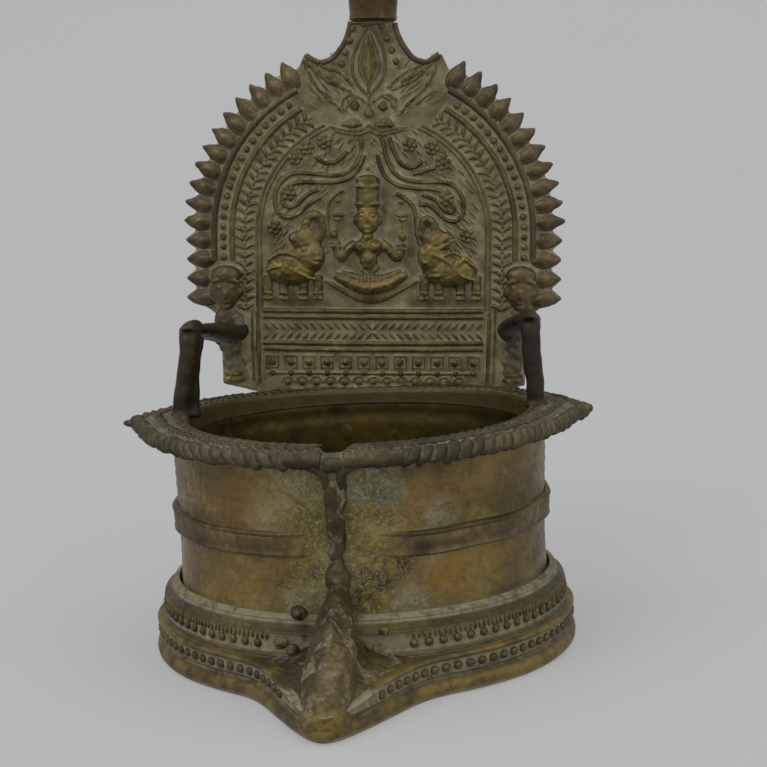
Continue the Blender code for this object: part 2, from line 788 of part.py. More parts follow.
def build_seated_figure():
    seat = RIM_TOP + GROUND_LINE
    lotus = [(0, 6.5, 2), (1.5, 10, 3), (4, 11.8, 3.2), (5.6, 11.2, 2.4)]
    loft(
        "lotus_seat",
        [half_round(seat + z * RELIEF_UNIT, w * RELIEF_UNIT, d * RELIEF_UNIT) for z, w, d in lotus],
        RELIEF_BRASS,
    )
    levels = [
        (0, 7.5, 2.2),
        (2, 8.5, 2.8),
        (4.2, 6.5, 3),
        (6.5, 2.8, 3),
        (10, 3.8, 4),
        (12.4, 3, 3.2),
        (13.3, 1.5, 2.4),
        (14.5, 2.6, 3.2),
        (18, 3.4, 4),
        (21, 3.4, 3.8),
        (27, 3.3, 3.4),
        (28.5, 1.6, 2),
    ]
    floor = seat + 5.6 * RELIEF_UNIT + GAP
    loft(
        "seated_figure",
        [half_round(floor + z * RELIEF_UNIT, w * RELIEF_UNIT, d * RELIEF_UNIT) for z, w, d in levels],
        RELIEF_BRASS,
    )


def build_elephants():
    """Body, raised trunk and legs in outline, as seen from the front, for the right one."""
    outline = [
        (13.2, 0), (16.4, 0), (16.4, 4.6), (20.6, 4.6), (20.6, 0), (23.8, 0), (23.8, 4.8), (26.0, 4.8),
        (26.0, 0), (28.9, 0), (29.1, 9.5), (27.5, 14.0), (23.0, 15.4), (19.0, 15.0), (18.4, 18.4),
        (17.0, 22.2), (14.6, 22.6), (14.0, 20.2), (15.0, 17.6), (13.4, 14.6), (12.6, 9.5),
    ]  # fmt: skip
    base = RIM_TOP + GROUND_LINE
    for label, side in (("left", -1), ("right", 1)):
        loop = [(side * x * RELIEF_UNIT, base + z * RELIEF_UNIT) for x, z in outline]
        slab(
            "elephant_" + label,
            [loop],
            RELIEF_DEPTH,
            RELIEF_BRASS,
            upright=True,
            front=RELIEF_BACK - RELIEF_DEPTH,
        )


def build_crest():
    mask_base = ARCH_CENTRE + MASK_RISE * RELIEF_UNIT
    mask = [(0, 5, 1.6), (2, 9.5, 2.6), (6, 9.8, 3.2), (10, 8, 2.8), (12, 5, 1.8)]
    loft(
        "crest_mask",
        [half_round(mask_base + z * RELIEF_UNIT, w * RELIEF_UNIT, d * RELIEF_UNIT) for z, w, d in mask],
        RELIEF_BRASS,
    )
    leaf_base = mask_base + 12 * RELIEF_UNIT + GAP
    leaf = [(0, 0.8, 1), (3, 3.4, 1.8), (6, 3.8, 2), (9.5, 2.4, 1.6), (12.6, 0.5, 0.8)]
    loft(
        "crest_leaf",
        [half_round(leaf_base + z * RELIEF_UNIT, w * RELIEF_UNIT, d * RELIEF_UNIT) for z, w, d in leaf],
        RELIEF_BRASS,
    )


def build_side_figures():
    head_base = RIM_TOP + GUARDIAN_RISE
    head = [(0, 1.2, 1.6), (2.5, 2.6, 3.6), (6, 3.1, 4.2), (9.5, 2.8, 3.2), (11, 1.6, 1.8)]
    post_base = RIM_TOP + GAP
    post = [(0, 3, 2), (1.6, 3.2, 2.2), (3, 2.1, 1.6), (7.5, 2.8, 2), (9.2, 2.2, 1.8)]
    for label, side in (("left", -1), ("right", 1)):
        loft(
            "guardian_" + label,
            [half_round(head_base + z * RELIEF_UNIT, w * RELIEF_UNIT, d * RELIEF_UNIT, side * GUARDIAN_X) for z, w, d in head],
            DARK_BRASS,
        )
        loft(
            "pilaster_" + label,
            [half_round(post_base + z * RELIEF_UNIT, w * RELIEF_UNIT, d * RELIEF_UNIT, side * PILASTER_X) for z, w, d in post],
            DARK_BRASS,
        )


# ---- finial -----------------------------------------------------------------
def build_finial():
    axis = (0, AXIS_Y + PLATE_MIDDLE, 0)
    bottom = NECK_TOP + GAP
    top = bottom + STEM_HEIGHT
    stem = turned(
        "finial_stem",
        [
            (0, top),
            (STEM_RADIUS * 0.72, top),
            (STEM_RADIUS * 0.8, top - STEM_HEIGHT * 0.2),
            (STEM_RADIUS * 1.03, top - STEM_HEIGHT * 0.5),
            (STEM_RADIUS, top - STEM_HEIGHT * 0.85),
            (STEM_RADIUS * 0.97, bottom),
            (0, bottom),
        ],
        steps=32,
        location=axis,
    )
    slot = box(
        "tang_slot",
        (2 * (TANG_HALF_WIDTH + GAP), PLATE_THICKNESS + 2 * GAP, 2 * (TANG_LENGTH + GAP)),
        (axis[0], axis[1], NECK_TOP),
    )
    cut(stem, as_cutter(slot))
    knop_bottom = top + GAP
    knop_top = knop_bottom + KNOP_HEIGHT
    bore = PEG_RADIUS + RIVET_PLAY
    knop = [
        (bore, knop_top),
        (KNOP_RADIUS * 0.6, knop_top),
        (KNOP_RADIUS * 0.9, knop_top - KNOP_HEIGHT * 0.2),
        (KNOP_RADIUS, knop_top - KNOP_HEIGHT * 0.5),
        (KNOP_RADIUS * 0.9, knop_top - KNOP_HEIGHT * 0.8),
        (KNOP_RADIUS * 0.6, knop_bottom),
        (bore, knop_bottom),
    ]
    turned("finial_knop", knop, steps=32, location=axis, closed=True)
    base = knop_top + GAP
    bud_top = base + BUD_TOP_HEIGHT
    peg_end = knop_bottom - PEG_LENGTH
    turned(
        "finial_bud",
        [
            (0, bud_top),
            (BUD_TOP_RADIUS * 0.18, bud_top - BUD_TOP_HEIGHT * 0.06),
            (BUD_TOP_RADIUS * 0.55, bud_top - BUD_TOP_HEIGHT * 0.3),
            (BUD_TOP_RADIUS * 0.95, bud_top - BUD_TOP_HEIGHT * 0.58),
            (BUD_TOP_RADIUS, bud_top - BUD_TOP_HEIGHT * 0.72),
            (BUD_TOP_RADIUS * 0.7, base + BUD_TOP_HEIGHT * 0.06),
            (BUD_TOP_RADIUS * 0.7, base),
            (PEG_RADIUS, base),
            (PEG_RADIUS, peg_end),
            (0, peg_end),
        ],
        steps=32,
        location=axis,
    )
    socket = cylinder_cutter(
        "peg_socket", bore, 2 * (PEG_LENGTH + GAP), (axis[0], axis[1], knop_bottom)
    )
    cut(stem, socket)


# ---- placing ----------------------------------------------------------------
def turn_spout():
    """Turns the pieces that follow the wick spout about the reservoir's axis."""
    names = ["foot_plinth", "foot_collar", "toe_keel", "wick_lip", "spout_rib", "rib_bud"]
    for name in names:
        bpy.data.objects[name].rotation_euler.z += SPOUT_TURN
    for name in ("keel_room", "rib_room", "bud_room", "notch_cut"):
        swing(bpy.data.objects[name])


def swing(obj):
    """Turns an object that stands away from the axis, place and all."""
    about = Matrix.Translation((0, AXIS_Y, 0)) @ Matrix.Rotation(SPOUT_TURN, 4, "Z")
    obj.matrix_basis = about @ Matrix.Translation((0, -AXIS_Y, 0)) @ obj.matrix_basis


def lean_plate():
    """Hangs everything fixed to the back plate on one empty, which leans."""
    frame = bpy.data.objects.new("plate_frame", None)
    lamp.objects.link(frame)
    frame.location = (0, AXIS_Y, LEAN_PIVOT)
    frame.rotation_euler = (0, PLATE_LEAN, 0)
    kinds = ("back_plate", "plate_rivet", "outer_rib", "middle_rib", "field_rib", "sill", "lotus")
    kinds += ("seated", "elephant", "crest", "guardian", "pilaster", "finial", "tang", "peg")
    for obj in [*lamp.objects, *cutters.objects]:
        if obj.name.startswith(kinds):
            obj.parent = frame
            obj.matrix_parent_inverse = Matrix.Translation((0, -AXIS_Y, -LEAN_PIVOT))


clear_scene()
lamp = new_collection("oil_lamp")
cutters = new_collection("cutters")
build_foot()
drum_part = build_reservoir()
boss_part = build_boss()
build_rim()
build_spout_rib()
plate_part = build_plate()
build_plate_rivets(drum_part, boss_part, plate_part)
build_struts(plate_part)
build_ribs()
build_seated_figure()
build_elephants()
build_crest()
build_side_figures()
build_finial()
turn_spout()
lean_plate()
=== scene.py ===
import math
import random

import bpy
from mathutils import Matrix, Vector, noise


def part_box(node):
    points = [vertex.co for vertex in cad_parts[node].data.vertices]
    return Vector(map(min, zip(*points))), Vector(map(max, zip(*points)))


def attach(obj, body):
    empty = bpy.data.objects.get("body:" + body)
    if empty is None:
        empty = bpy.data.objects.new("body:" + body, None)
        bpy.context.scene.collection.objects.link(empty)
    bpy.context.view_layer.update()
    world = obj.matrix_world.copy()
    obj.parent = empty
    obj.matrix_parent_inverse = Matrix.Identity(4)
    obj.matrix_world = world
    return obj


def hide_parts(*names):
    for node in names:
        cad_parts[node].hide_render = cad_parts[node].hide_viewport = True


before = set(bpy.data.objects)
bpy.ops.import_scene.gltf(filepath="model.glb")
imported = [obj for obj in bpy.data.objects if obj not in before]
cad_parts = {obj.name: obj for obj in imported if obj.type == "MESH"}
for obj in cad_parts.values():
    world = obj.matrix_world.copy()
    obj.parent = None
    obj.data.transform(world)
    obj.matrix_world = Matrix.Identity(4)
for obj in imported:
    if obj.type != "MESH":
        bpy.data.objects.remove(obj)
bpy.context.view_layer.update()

MM = 0.001
random.seed(11)

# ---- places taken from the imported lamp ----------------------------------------
drum_low, drum_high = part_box("reservoir")
AXIS_Y = (drum_low.y + drum_high.y) / 2
DRUM_R = (drum_high.x - drum_low.x) / 2
PLATE_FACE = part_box("back_plate")[0].y
AXIS_MM, DRUM_MM, FACE_MM = AXIS_Y / MM, DRUM_R / MM, PLATE_FACE / MM
SIDES = ((-1, "left"), (1, "right"))
PLATE_LEAN = math.radians(2.2)
SPOUT_TURN = math.radians(-3.4)
SPOUT_BEARING = -math.pi / 2 + SPOUT_TURN
LEAN_PIVOT = 31 * MM
ARCH_CENTRE = 98
LEAN = (
    Matrix.Translation((0, AXIS_Y, LEAN_PIVOT))
    @ Matrix.Rotation(PLATE_LEAN, 4, "Y")
    @ Matrix.Translation((0, -AXIS_Y, -LEAN_PIVOT))
)
TURN = (
    Matrix.Translation((0, AXIS_Y, 0))
    @ Matrix.Rotation(SPOUT_TURN, 4, "Z")
    @ Matrix.Translation((0, -AXIS_Y, 0))
)


# ---- finishes -----------------------------------------------------------------
def tint(red, green, blue):
    """A paint colour from 0-255 shares, as linear light."""
    shares = [v / 255 for v in (red, green, blue)]
    return tuple(s / 12.92 if s <= 0.04045 else ((s + 0.055) / 1.055) ** 2.4 for s in shares) + (1,)


class Finish:
    """A procedural metal finish, built one node at a time."""

    def __init__(self, name):
        self.material = bpy.data.materials.new(name)
        self.material.use_nodes = True
        self.tree = self.material.node_tree
        self.shader = self.tree.nodes["Principled BSDF"]
        self.place = self.tree.nodes.new("ShaderNodeTexCoord").outputs["Object"]

    def node(self, kind, **settings):
        made = self.tree.nodes.new("ShaderNode" + kind)
        for key, value in settings.items():
            setattr(made, key, value)
        return made

    def feed(self, socket, value):
        if hasattr(value, "is_linked"):
            self.tree.links.new(value, socket)
        else:
            socket.default_value = value

    def noise(self, scale, detail=4, roughness=0.55, distortion=0.0, place=None):
        made = self.node("TexNoise")
        self.feed(made.inputs["Vector"], place or self.place)
        made.inputs["Scale"].default_value = scale
        made.inputs["Detail"].default_value = detail
        made.inputs["Roughness"].default_value = roughness
        made.inputs["Distortion"].default_value = distortion
        return made.outputs["Fac"]

    def stretched(self, scale):
        made = self.node("Mapping")
        self.feed(made.inputs["Vector"], self.place)
        made.inputs["Scale"].default_value = scale
        return made.outputs["Vector"]

    def pits(self, scale):
        made = self.node("TexVoronoi")
        self.feed(made.inputs["Vector"], self.place)
        made.inputs["Scale"].default_value = scale
        return made.outputs["Distance"]

    def span(self, value, low, high, start=0.0, end=1.0):
        made = self.node("MapRange", interpolation_type="SMOOTHSTEP")
        self.feed(made.inputs["Value"], value)
        for name, number in zip(("From Min", "From Max", "To Min", "To Max"), (low, high, start, end)):
            made.inputs[name].default_value = number
        return made.outputs["Result"]

    def maths(self, operation, first, second=0.0):
        made = self.node("Math", operation=operation)
        self.feed(made.inputs[0], first)
        self.feed(made.inputs[1], second)
        return made.outputs["Value"]

    def times(self, first, second):
        return self.maths("MULTIPLY", first, second)

    def most(self, first, second):
        return self.maths("MAXIMUM", first, second)

    def ramp(self, value, stops):
        made = self.node("ValToRGB")
        self.feed(made.inputs["Fac"], value)
        marks = made.color_ramp.elements
        while len(marks) < len(stops):
            marks.new(0.5)
        for mark, (position, colour) in zip(marks, stops):
            mark.position, mark.color = position, colour
        return made.outputs["Color"]

    def blend(self, share, first, second):
        made = self.node("Mix", data_type="RGBA")
        self.feed(made.inputs[0], share)
        self.feed(made.inputs[6], first)
        self.feed(made.inputs[7], second)
        return made.outputs[2]

    def hollows(self, reach, inside=False):
        made = self.node("AmbientOcclusion", samples=8, inside=inside, only_local=inside)
        made.inputs["Distance"].default_value = reach
        return made.outputs["AO"]

    def axis(self, name):
        made = self.node("SeparateXYZ")
        self.feed(made.inputs[0], self.place)
        return made.outputs[name]

    def band(self, value, low, high, soft):
        """One between low and high, nothing outside, in millimetres."""
        up = self.span(value, (low - soft) * MM, (low + soft) * MM)
        down = self.span(value, (high - soft) * MM, (high + soft) * MM, 1.0, 0.0)
        return self.times(up, down)

    def from_axis(self):
        """Distance from the lamp's upright axis."""
        across = self.maths("POWER", self.axis("X"), 2.0)
        deep = self.maths("POWER", self.maths("SUBTRACT", self.axis("Y"), AXIS_Y), 2.0)
        return self.maths("SQRT", self.maths("ADD", across, deep))

    def spot(self, centre, reach):
        """A soft patch round a point, in millimetres."""
        made = self.node("VectorMath", operation="DISTANCE")
        self.feed(made.inputs[0], self.place)
        made.inputs[1].default_value = [v * MM for v in centre]
        return self.span(made.outputs["Value"], reach * 0.35 * MM, reach * MM, 1.0, 0.0)


def patina(name, shades, dust, glint, dust_share=0.8, dust_reach=1.8, glint_share=0.5, metal=0.55,
           rough=0.5, bump=0.35, pores=0.3, face=None, extra=None, broad=60):
    """Aged brass: three mottled shades, dust lying in hollows, and bright edges that are partly wear and partly
    a painted highlight.
    """
    f = Finish(name)
    mottle = f.noise(broad, 6, 0.6, 0.4)
    base = f.ramp(mottle, [(0.34, shades[0]), (0.5, shades[1]), (0.66, shades[2])])
    fleck = f.noise(650, 5, 0.65)
    base = f.blend(f.span(fleck, 0.35, 0.7, 0.55, 0.0), base, shades[0])
    hollow = f.span(f.hollows(dust_reach * MM), 0.35, 0.9, 1.0, 0.0)
    patchy = f.span(f.noise(240, 5, 0.6), 0.32, 0.62, 0.35, 1.0)
    dusty = f.times(f.times(hollow, patchy), dust_share)
    speckle = f.span(f.noise(1500, 3, 0.6), 0.64, 0.74, 0.0, 0.45)
    dusty = f.maths("MINIMUM", f.maths("ADD", dusty, f.times(speckle, dust_share)), 0.95)
    # edges found by an inside AO node, and below them proud faces, are coloured towards the glint colour:
    # partly wear, partly a painted highlight
    edge = f.span(f.hollows(0.7 * MM, inside=True), 0.25, 0.75, 1.0, 0.0)
    wear_and_glint = f.times(edge, f.span(f.noise(320, 4, 0.6), 0.38, 0.62, 0.1, 1.0))
    # proud faces nearest the front get the same painted highlight mixed with wear
    if face is not None:
        proud = f.span(f.axis("Y"), *face, 1.0, 0.0)
        brightened = f.times(proud, f.span(f.noise(180, 4, 0.6), 0.35, 0.6, 0.1, 1.0))
        wear_and_glint = f.most(wear_and_glint, brightened)
    wear_and_glint = f.times(wear_and_glint, glint_share)
    colour = f.blend(dusty, base, dust)
    colour = f.blend(wear_and_glint, colour, glint)
    matt = dusty
    if extra is not None:
        colour, matt = extra(f, colour, dusty)
    f.feed(f.shader.inputs["Base Color"], colour)
    f.feed(f.shader.inputs["Metallic"], f.span(matt, 0.0, 0.6, metal, 0.0))
    gloss = f.maths("ADD", f.span(matt, 0.0, 0.6, rough, 0.9), f.span(fleck, 0.3, 0.7, 0.08, -0.08))
    f.feed(f.shader.inputs["Roughness"], f.maths("SUBTRACT", gloss, f.times(wear_and_glint, 0.18)))
    grain = f.node("Bump")
    grain.inputs["Strength"].default_value = bump
    grain.inputs["Distance"].default_value = 0.12 * MM
    f.feed(grain.inputs["Height"], f.noise(900, 6, 0.7))
    coarse = f.node("Bump")
    coarse.inputs["Strength"].default_value = pores
    coarse.inputs["Distance"].default_value = 0.35 * MM
    f.feed(coarse.inputs["Height"], f.maths("ADD", f.noise(210, 3, 0.55), f.pits(330)))
    f.feed(coarse.inputs["Normal"], grain.outputs["Normal"])
    f.feed(f.shader.inputs["Normal"], coarse.outputs["Normal"])
    return f.material


DUST = tint(142, 136, 118)
GOLD = tint(150, 124, 66)
OLIVE = (tint(56, 48, 30), tint(84, 74, 46), tint(112, 98, 60))
BRONZE = (tint(62, 55, 32), tint(100, 90, 54), tint(126, 113, 68))
DRUM = (tint(73, 61, 32), tint(110, 94, 49), tint(143, 122, 64))
KEEL = (tint(52, 44, 29), tint(80, 69, 44), tint(106, 92, 58))
DARK = (tint(34, 28, 19), tint(50, 42, 28), tint(66, 56, 37))
BELT = (tint(58, 49, 32), tint(94, 81, 50), tint(126, 106, 60))
RIM = (tint(54, 48, 33), tint(86, 79, 59), tint(122, 115, 92))
ROPE = (tint(46, 40, 26), tint(70, 61, 42), tint(92, 82, 57))
PLATE = (tint(84, 75, 48), tint(124, 115, 86), tint(158, 149, 118))
WING = (tint(66, 62, 45), tint(96, 91, 69), tint(128, 121, 97))
PETAL = (tint(54, 45, 31), tint(80, 69, 49), tint(106, 94, 68))
STEM = (tint(58, 42, 24), tint(92, 70, 38), tint(120, 94, 50))


# patches on the drum's front: how strong, their colour, and each one's (across, up, reach) in millimetres
DRUM_PATCHES = (
    (0.85, tint(70, 54, 34), [(-36, 44, 16), (-33, 36, 12), (22, 44, 6), (24, 39, 5), (-38, 26, 11),
                             (36, 44, 8)]),
    (0.55, tint(112, 88, 50), [(-24, 28, 12), (-30, 44, 7)]),
    (0.8, tint(136, 104, 40), [(21, 28, 10), (-16, 35, 8), (34, 30, 10)]),
    (0.7, tint(116, 80, 50), [(-26, 43, 9), (16, 44, 6)]),
    (0.7, tint(116, 110, 46), [(-9, 43, 8), (-8, 33, 6), (4, 37, 6)]),
    (0.8, tint(142, 136, 112), [(-12, 49, 9), (-19, 39, 7), (21, 39, 7), (19, 32, 5), (13, 20, 7), (-12, 21, 6),
                                (-4, 22, 5)]),
    (0.65, tint(112, 124, 114), [(4, 49, 8), (9, 46, 6)]),
    (0.95, tint(28, 38, 32), [(6, 27, 8), (11, 30, 6), (3, 22, 5), (-22, 33, 5), (-16, 33, 4), (-8, 28, 3)]),
)


def crusted(f, colour, dusty):
    """Verdigris and lime crust, thickest beside the spout rib, and painted shade inside the bowl."""
    side = f.maths("ABSOLUTE", f.axis("X"))
    front = f.span(f.axis("Y"), AXIS_Y - 0.3 * DRUM_R, AXIS_Y - 0.8 * DRUM_R)
    near = f.times(f.span(side, 2 * MM, 24 * MM, 1.0, 0.12), front)
    cloud = f.noise(120, 7, 0.68, 0.8)
    crust = f.times(f.span(cloud, 0.5, 0.62), near)
    crust = f.times(crust, f.span(f.noise(900, 4, 0.6), 0.35, 0.6, 0.4, 1.0))
    colour = f.blend(f.times(crust, 0.6), colour, tint(140, 140, 112))
    blots = f.noise(95, 5, 0.6, 1.2, f.stretched((1, 1, 1.4)))
    colour = f.blend(f.times(f.span(blots, 0.58, 0.68, 0.0, 0.85), near), colour, tint(34, 44, 34))
    # the bowl's inside, below the rim, is painted dark as shade, in mottled dark olive tones
    inside = f.span(f.from_axis(), DRUM_R - 1.6 * MM, DRUM_R - 2.4 * MM)
    bowl_shade = f.ramp(f.noise(45, 5, 0.6, 0.5),
                  [(0.36, tint(34, 30, 14)), (0.5, tint(66, 56, 16)), (0.64, tint(90, 74, 24))])
    colour = f.blend(f.times(inside, 0.88), colour, bowl_shade)
    speck = f.times(f.span(f.noise(1100, 5, 0.75), 0.5, 0.66, 0.0, 0.85), near)
    colour = f.blend(speck, colour, tint(158, 148, 98))
    streak = f.span(f.noise(40, 5, 0.6, 0.3, f.stretched((1, 1, 3))), 0.45, 0.65, 0.0, 0.5)
    outside = f.maths("SUBTRACT", 1.0, inside)
    colour = f.blend(f.times(streak, outside), colour, tint(134, 108, 56))
    grit = f.span(f.noise(1700, 4, 0.7), 0.4, 0.6, 0.25, 1.0)
    ragged = f.times(f.span(f.noise(300, 6, 0.7, 0.6), 0.36, 0.56), grit)
    for share, stain, patches in DRUM_PATCHES:
        total = None
        for across, up, reach in patches:
            here = f.spot((across, AXIS_MM - math.sqrt(DRUM_MM**2 - across**2), up), reach)
            total = here if total is None else f.most(total, here)
        colour = f.blend(f.times(f.times(total, ragged), share), colour, stain)
    flecks = f.times(f.span(f.noise(1300, 5, 0.8), 0.54, 0.64, 0.0, 0.75), near)
    colour = f.blend(flecks, colour, tint(44, 42, 24))
    glints = f.times(f.span(f.noise(1900, 4, 0.8), 0.56, 0.64, 0.0, 0.8), near)
    colour = f.blend(glints, colour, tint(168, 158, 110))
    return colour, f.most(dusty, f.times(crust, 0.5))


def handled(f, colour, dusty):
    """Keel and rib: lime crust in patches, and a toe tip rubbed to gold."""
    tip = (74 * math.sin(SPOUT_TURN), AXIS_MM - 74, 2.0)
    gold = f.times(f.spot(tip, 8), f.span(f.noise(500, 5, 0.65), 0.38, 0.58, 0.2, 0.8))
    colour = f.blend(gold, colour, tint(128, 110, 52))
    crust = f.span(f.noise(190, 6, 0.7, 0.6), 0.52, 0.62, 0.0, 0.65)
    crust = f.times(crust, f.span(f.noise(1500, 4, 0.7), 0.4, 0.6, 0.3, 1.0))
    colour = f.blend(crust, colour, tint(138, 130, 106))
    return colour, f.most(dusty, crust)


def shaded_bore(f, colour, dusty):
    """The rim's bore, painted dark as shade like the bowl below it."""
    bore = f.span(f.from_axis(), 42.2 * MM, 42.7 * MM, 0.85, 0.0)
    return f.blend(bore, colour, tint(74, 58, 24)), f.times(dusty, f.maths("SUBTRACT", 1.0, bore))


def banded(f, colour, dusty):
    """Pale dirt packed between the foot's mouldings, with the mouldings rubbed bright."""
    level = f.axis("Z")
    dirt = f.most(f.band(level, 4.6, 8.0, 0.3), f.band(level, 10.7, 15.0, 0.3))
    dirt = f.most(dirt, f.band(level, 16.9, 18.9, 0.3))
    dirt = f.times(dirt, f.span(f.noise(420, 5, 0.65), 0.3, 0.6, 0.2, 0.95))
    colour = f.blend(dirt, colour, tint(132, 126, 104))
    brightened = f.most(f.band(level, 0.8, 3.9, 0.5), f.band(level, 8.3, 9.6, 0.2))
    brightened = f.times(brightened, f.span(f.noise(150, 5, 0.6), 0.4, 0.62, 0.05, 0.65))
    colour = f.blend(brightened, colour, tint(138, 116, 62))
    return colour, f.most(dusty, dirt)


# how far proud relief and petals stand before they take the glint colour, a painted highlight mixed with wear
RAISED = (PLATE_FACE - 3.1 * MM, PLATE_FACE - 1.6 * MM)
PETAL_FACE = (PLATE_FACE - 2.2 * MM, PLATE_FACE - 1.4 * MM)
FINISHES = {
    "foot": patina("foot_brass", OLIVE, DUST, GOLD, dust_share=0.85, dust_reach=2.2, extra=banded),
    "bead": patina("foot_bead_brass", OLIVE, DUST, GOLD, dust_share=0.4, dust_reach=0.9, glint_share=0.45),
    "keel": patina("keel_brass", KEEL, tint(132, 126, 108), GOLD, dust_share=0.6, glint_share=0.4, bump=0.7,
                   pores=0.6, extra=handled),
    # the drum's finish also paints the bowl's inside dark, as shade
    "drum": patina("drum_brass", DRUM, DUST, GOLD, dust_share=0.6, glint_share=0.3, rough=0.42, extra=crusted),
    "belt": patina("belt_brass", BELT, DUST, GOLD, dust_share=0.6, glint_share=0.3, bump=0.5, pores=0.5,
                   broad=90),
    # the rim's finish paints its bore dark, as shade
    "rim": patina("rim_brass", RIM, tint(164, 160, 142), GOLD, dust_share=0.95, dust_reach=1.3, glint_share=0.2,
                  metal=0.3, bump=0.6, broad=180, extra=shaded_bore),
    "rope": patina("rope_brass", ROPE, tint(130, 126, 102), GOLD, dust_share=0.9, dust_reach=1.4,
                   glint_share=0.14, bump=0.6),
    "plate": patina("plate_ground", PLATE, tint(182, 175, 150), GOLD, dust_share=0.9, glint_share=0.3,
                    metal=0.15, rough=0.75, bump=0.9, pores=0.7, broad=130),
    "wing": patina("wing_ground", WING, DUST, GOLD, dust_share=0.7, glint_share=0.2, metal=0.2, rough=0.75,
                   bump=0.7, pores=0.5, broad=140),
    "petals": patina("petal_brass", PETAL, tint(166, 159, 136), tint(124, 104, 66), dust_share=0.95,
                     dust_reach=1.5, glint_share=0.35, face=PETAL_FACE),
    "relief": patina("relief_brass_worn_and_glinting", BRONZE, tint(168, 160, 132), tint(150, 126, 64), dust_share=0.85,
                     dust_reach=1.2, glint_share=0.45, rough=0.45, bump=0.9, pores=0.7, face=RAISED, broad=160),
    "strut": patina("strut_brass", DARK, tint(104, 94, 76), tint(112, 92, 58), dust_share=0.3, glint_share=0.3),
    "stem": patina("stem_brass", STEM, DUST, GOLD, dust_share=0.35, glint_share=0.35, rough=0.38, broad=90),
}


# ---- making and placing --------------------------------------------------------
def take(*pieces):
    """Select only these pieces, the first one active."""
    for o in list(bpy.context.selected_objects):
        o.select_set(False)
    for o in pieces:
        o.select_set(True)
    bpy.context.view_layer.objects.active = pieces[0]
    return pieces[0]


def settle(piece, place=None):
    """Put a piece in its place and keep the place in its mesh."""
    if place is not None:
        piece.matrix_world = place @ piece.matrix_world
    take(piece)
    bpy.ops.object.transform_apply(location=True, rotation=True, scale=True)
    return piece


def in_edit(piece, step):
    """Run one edit-mode step on all of a piece."""
    take(piece)
    bpy.ops.object.mode_set(mode="EDIT")
    bpy.ops.mesh.select_all(action="SELECT")
    step()
    bpy.ops.object.mode_set(mode="OBJECT")
    return piece


def outward(piece):
    return in_edit(piece, lambda: bpy.ops.mesh.normals_make_consistent(inside=False))


def smooth(piece, angle=50):
    take(piece)
    bpy.ops.object.shade_smooth_by_angle(angle=math.radians(angle))
    return piece


def joined(name, pieces):
    take(*pieces)
    if len(pieces) > 1:
        bpy.ops.object.join()
    piece = bpy.context.view_layer.objects.active
    piece.name = piece.data.name = name
    return settle(piece)


def twin(piece, place):
    """A copy of a piece with its own mesh, moved by place."""
    made = bpy.data.objects.new(piece.name + "_twin", piece.data.copy())
    bpy.context.scene.collection.objects.link(made)
    made.matrix_world = place @ piece.matrix_world
    return made


def repeated(pattern, places):
    """Copies of one pattern piece, one at every place."""
    pieces = [twin(pattern, place) for place in places]
    bpy.data.objects.remove(pattern)
    return pieces


def row(name, pattern, places):
    """One pattern piece repeated at every place and joined."""
    return outward(joined(name, repeated(pattern, places)))


def change(piece, kind, **settings):
    take(piece)
    made = piece.modifiers.new(kind.title(), kind)
    for key, value in settings.items():
        setattr(made, key, value)
    bpy.ops.object.modifier_apply(modifier=made.name)
    return piece


def fused(piece, voxel, soften=0, factor=0.5):
    """Melt a piece's masses into one skin."""
    change(piece, "REMESH", mode="VOXEL", voxel_size=voxel * MM)
    if soften:
        change(piece, "SMOOTH", iterations=soften, factor=factor)
    return piece


def dome(size, segments=12, rings=8, place=(0, 0, 0), turn=0.0):
    """A flattened ball: width, depth and height in millimetres."""
    bpy.ops.mesh.primitive_uv_sphere_add(
        segments=segments, ring_count=rings, radius=1, location=[v * MM for v in place],
        rotation=(0, turn, 0), scale=[v * MM / 2 for v in size])
    return settle(bpy.context.object)


def shaped(piece, rule):
    """Move every point of a piece by a rule in millimetres."""
    for point in piece.data.vertices:
        point.co = Vector(rule(*(point.co / MM))) * MM
    piece.data.update()
    return piece


def strand(points, radius, depth=1.0, turns=3, sides=1, taper=None):
    """A cast wire through points (x, y, z) in millimetres."""
    bpy.ops.curve.primitive_nurbs_path_add(radius=1, location=(0, 0, 0))
    wire = bpy.context.object
    line = wire.data.splines[0]
    if len(points) > len(line.points):
        line.points.add(len(points) - len(line.points))
    spare = len(line.points) - len(points)
    full = list(points) + [points[-1]] * spare
    for i, (knot, place) in enumerate(zip(line.points, full)):
        knot.co = (place[0] * MM, place[1] * MM, place[2] * MM, 1)
        if taper:
            knot.radius = taper(i / (len(full) - 1))
    line.use_endpoint_u = True
    line.order_u = 3
    wire.data.resolution_u = turns
    wire.data.bevel_depth = radius * MM
    wire.data.bevel_resolution = sides
    wire.data.use_fill_caps = True
    take(wire)
    bpy.ops.object.convert(target="MESH")
    piece = settle(bpy.context.object)
    if depth != 1.0:
        middle = points[0][1]
        shaped(piece, lambda x, y, z: (x, middle + (y - middle) * depth, z))
    return piece


def wrapped(name, around, rows, place_of):
    """A sheet of metal wrapped into a closed ring: place_of(turn, row) in millimetres."""
    bpy.ops.mesh.primitive_grid_add(x_subdivisions=around, y_subdivisions=rows, size=1)
    piece = bpy.context.object
    piece.name = piece.data.name = name
    for point in piece.data.vertices:
        turn = (point.co.x + 0.5) * 2 * math.pi
        level = round((point.co.y + 0.5) * rows)
        point.co = Vector(place_of(turn, level)) * MM
    in_edit(piece, lambda: bpy.ops.mesh.remove_doubles(threshold=0.00001))
    return outward(piece)


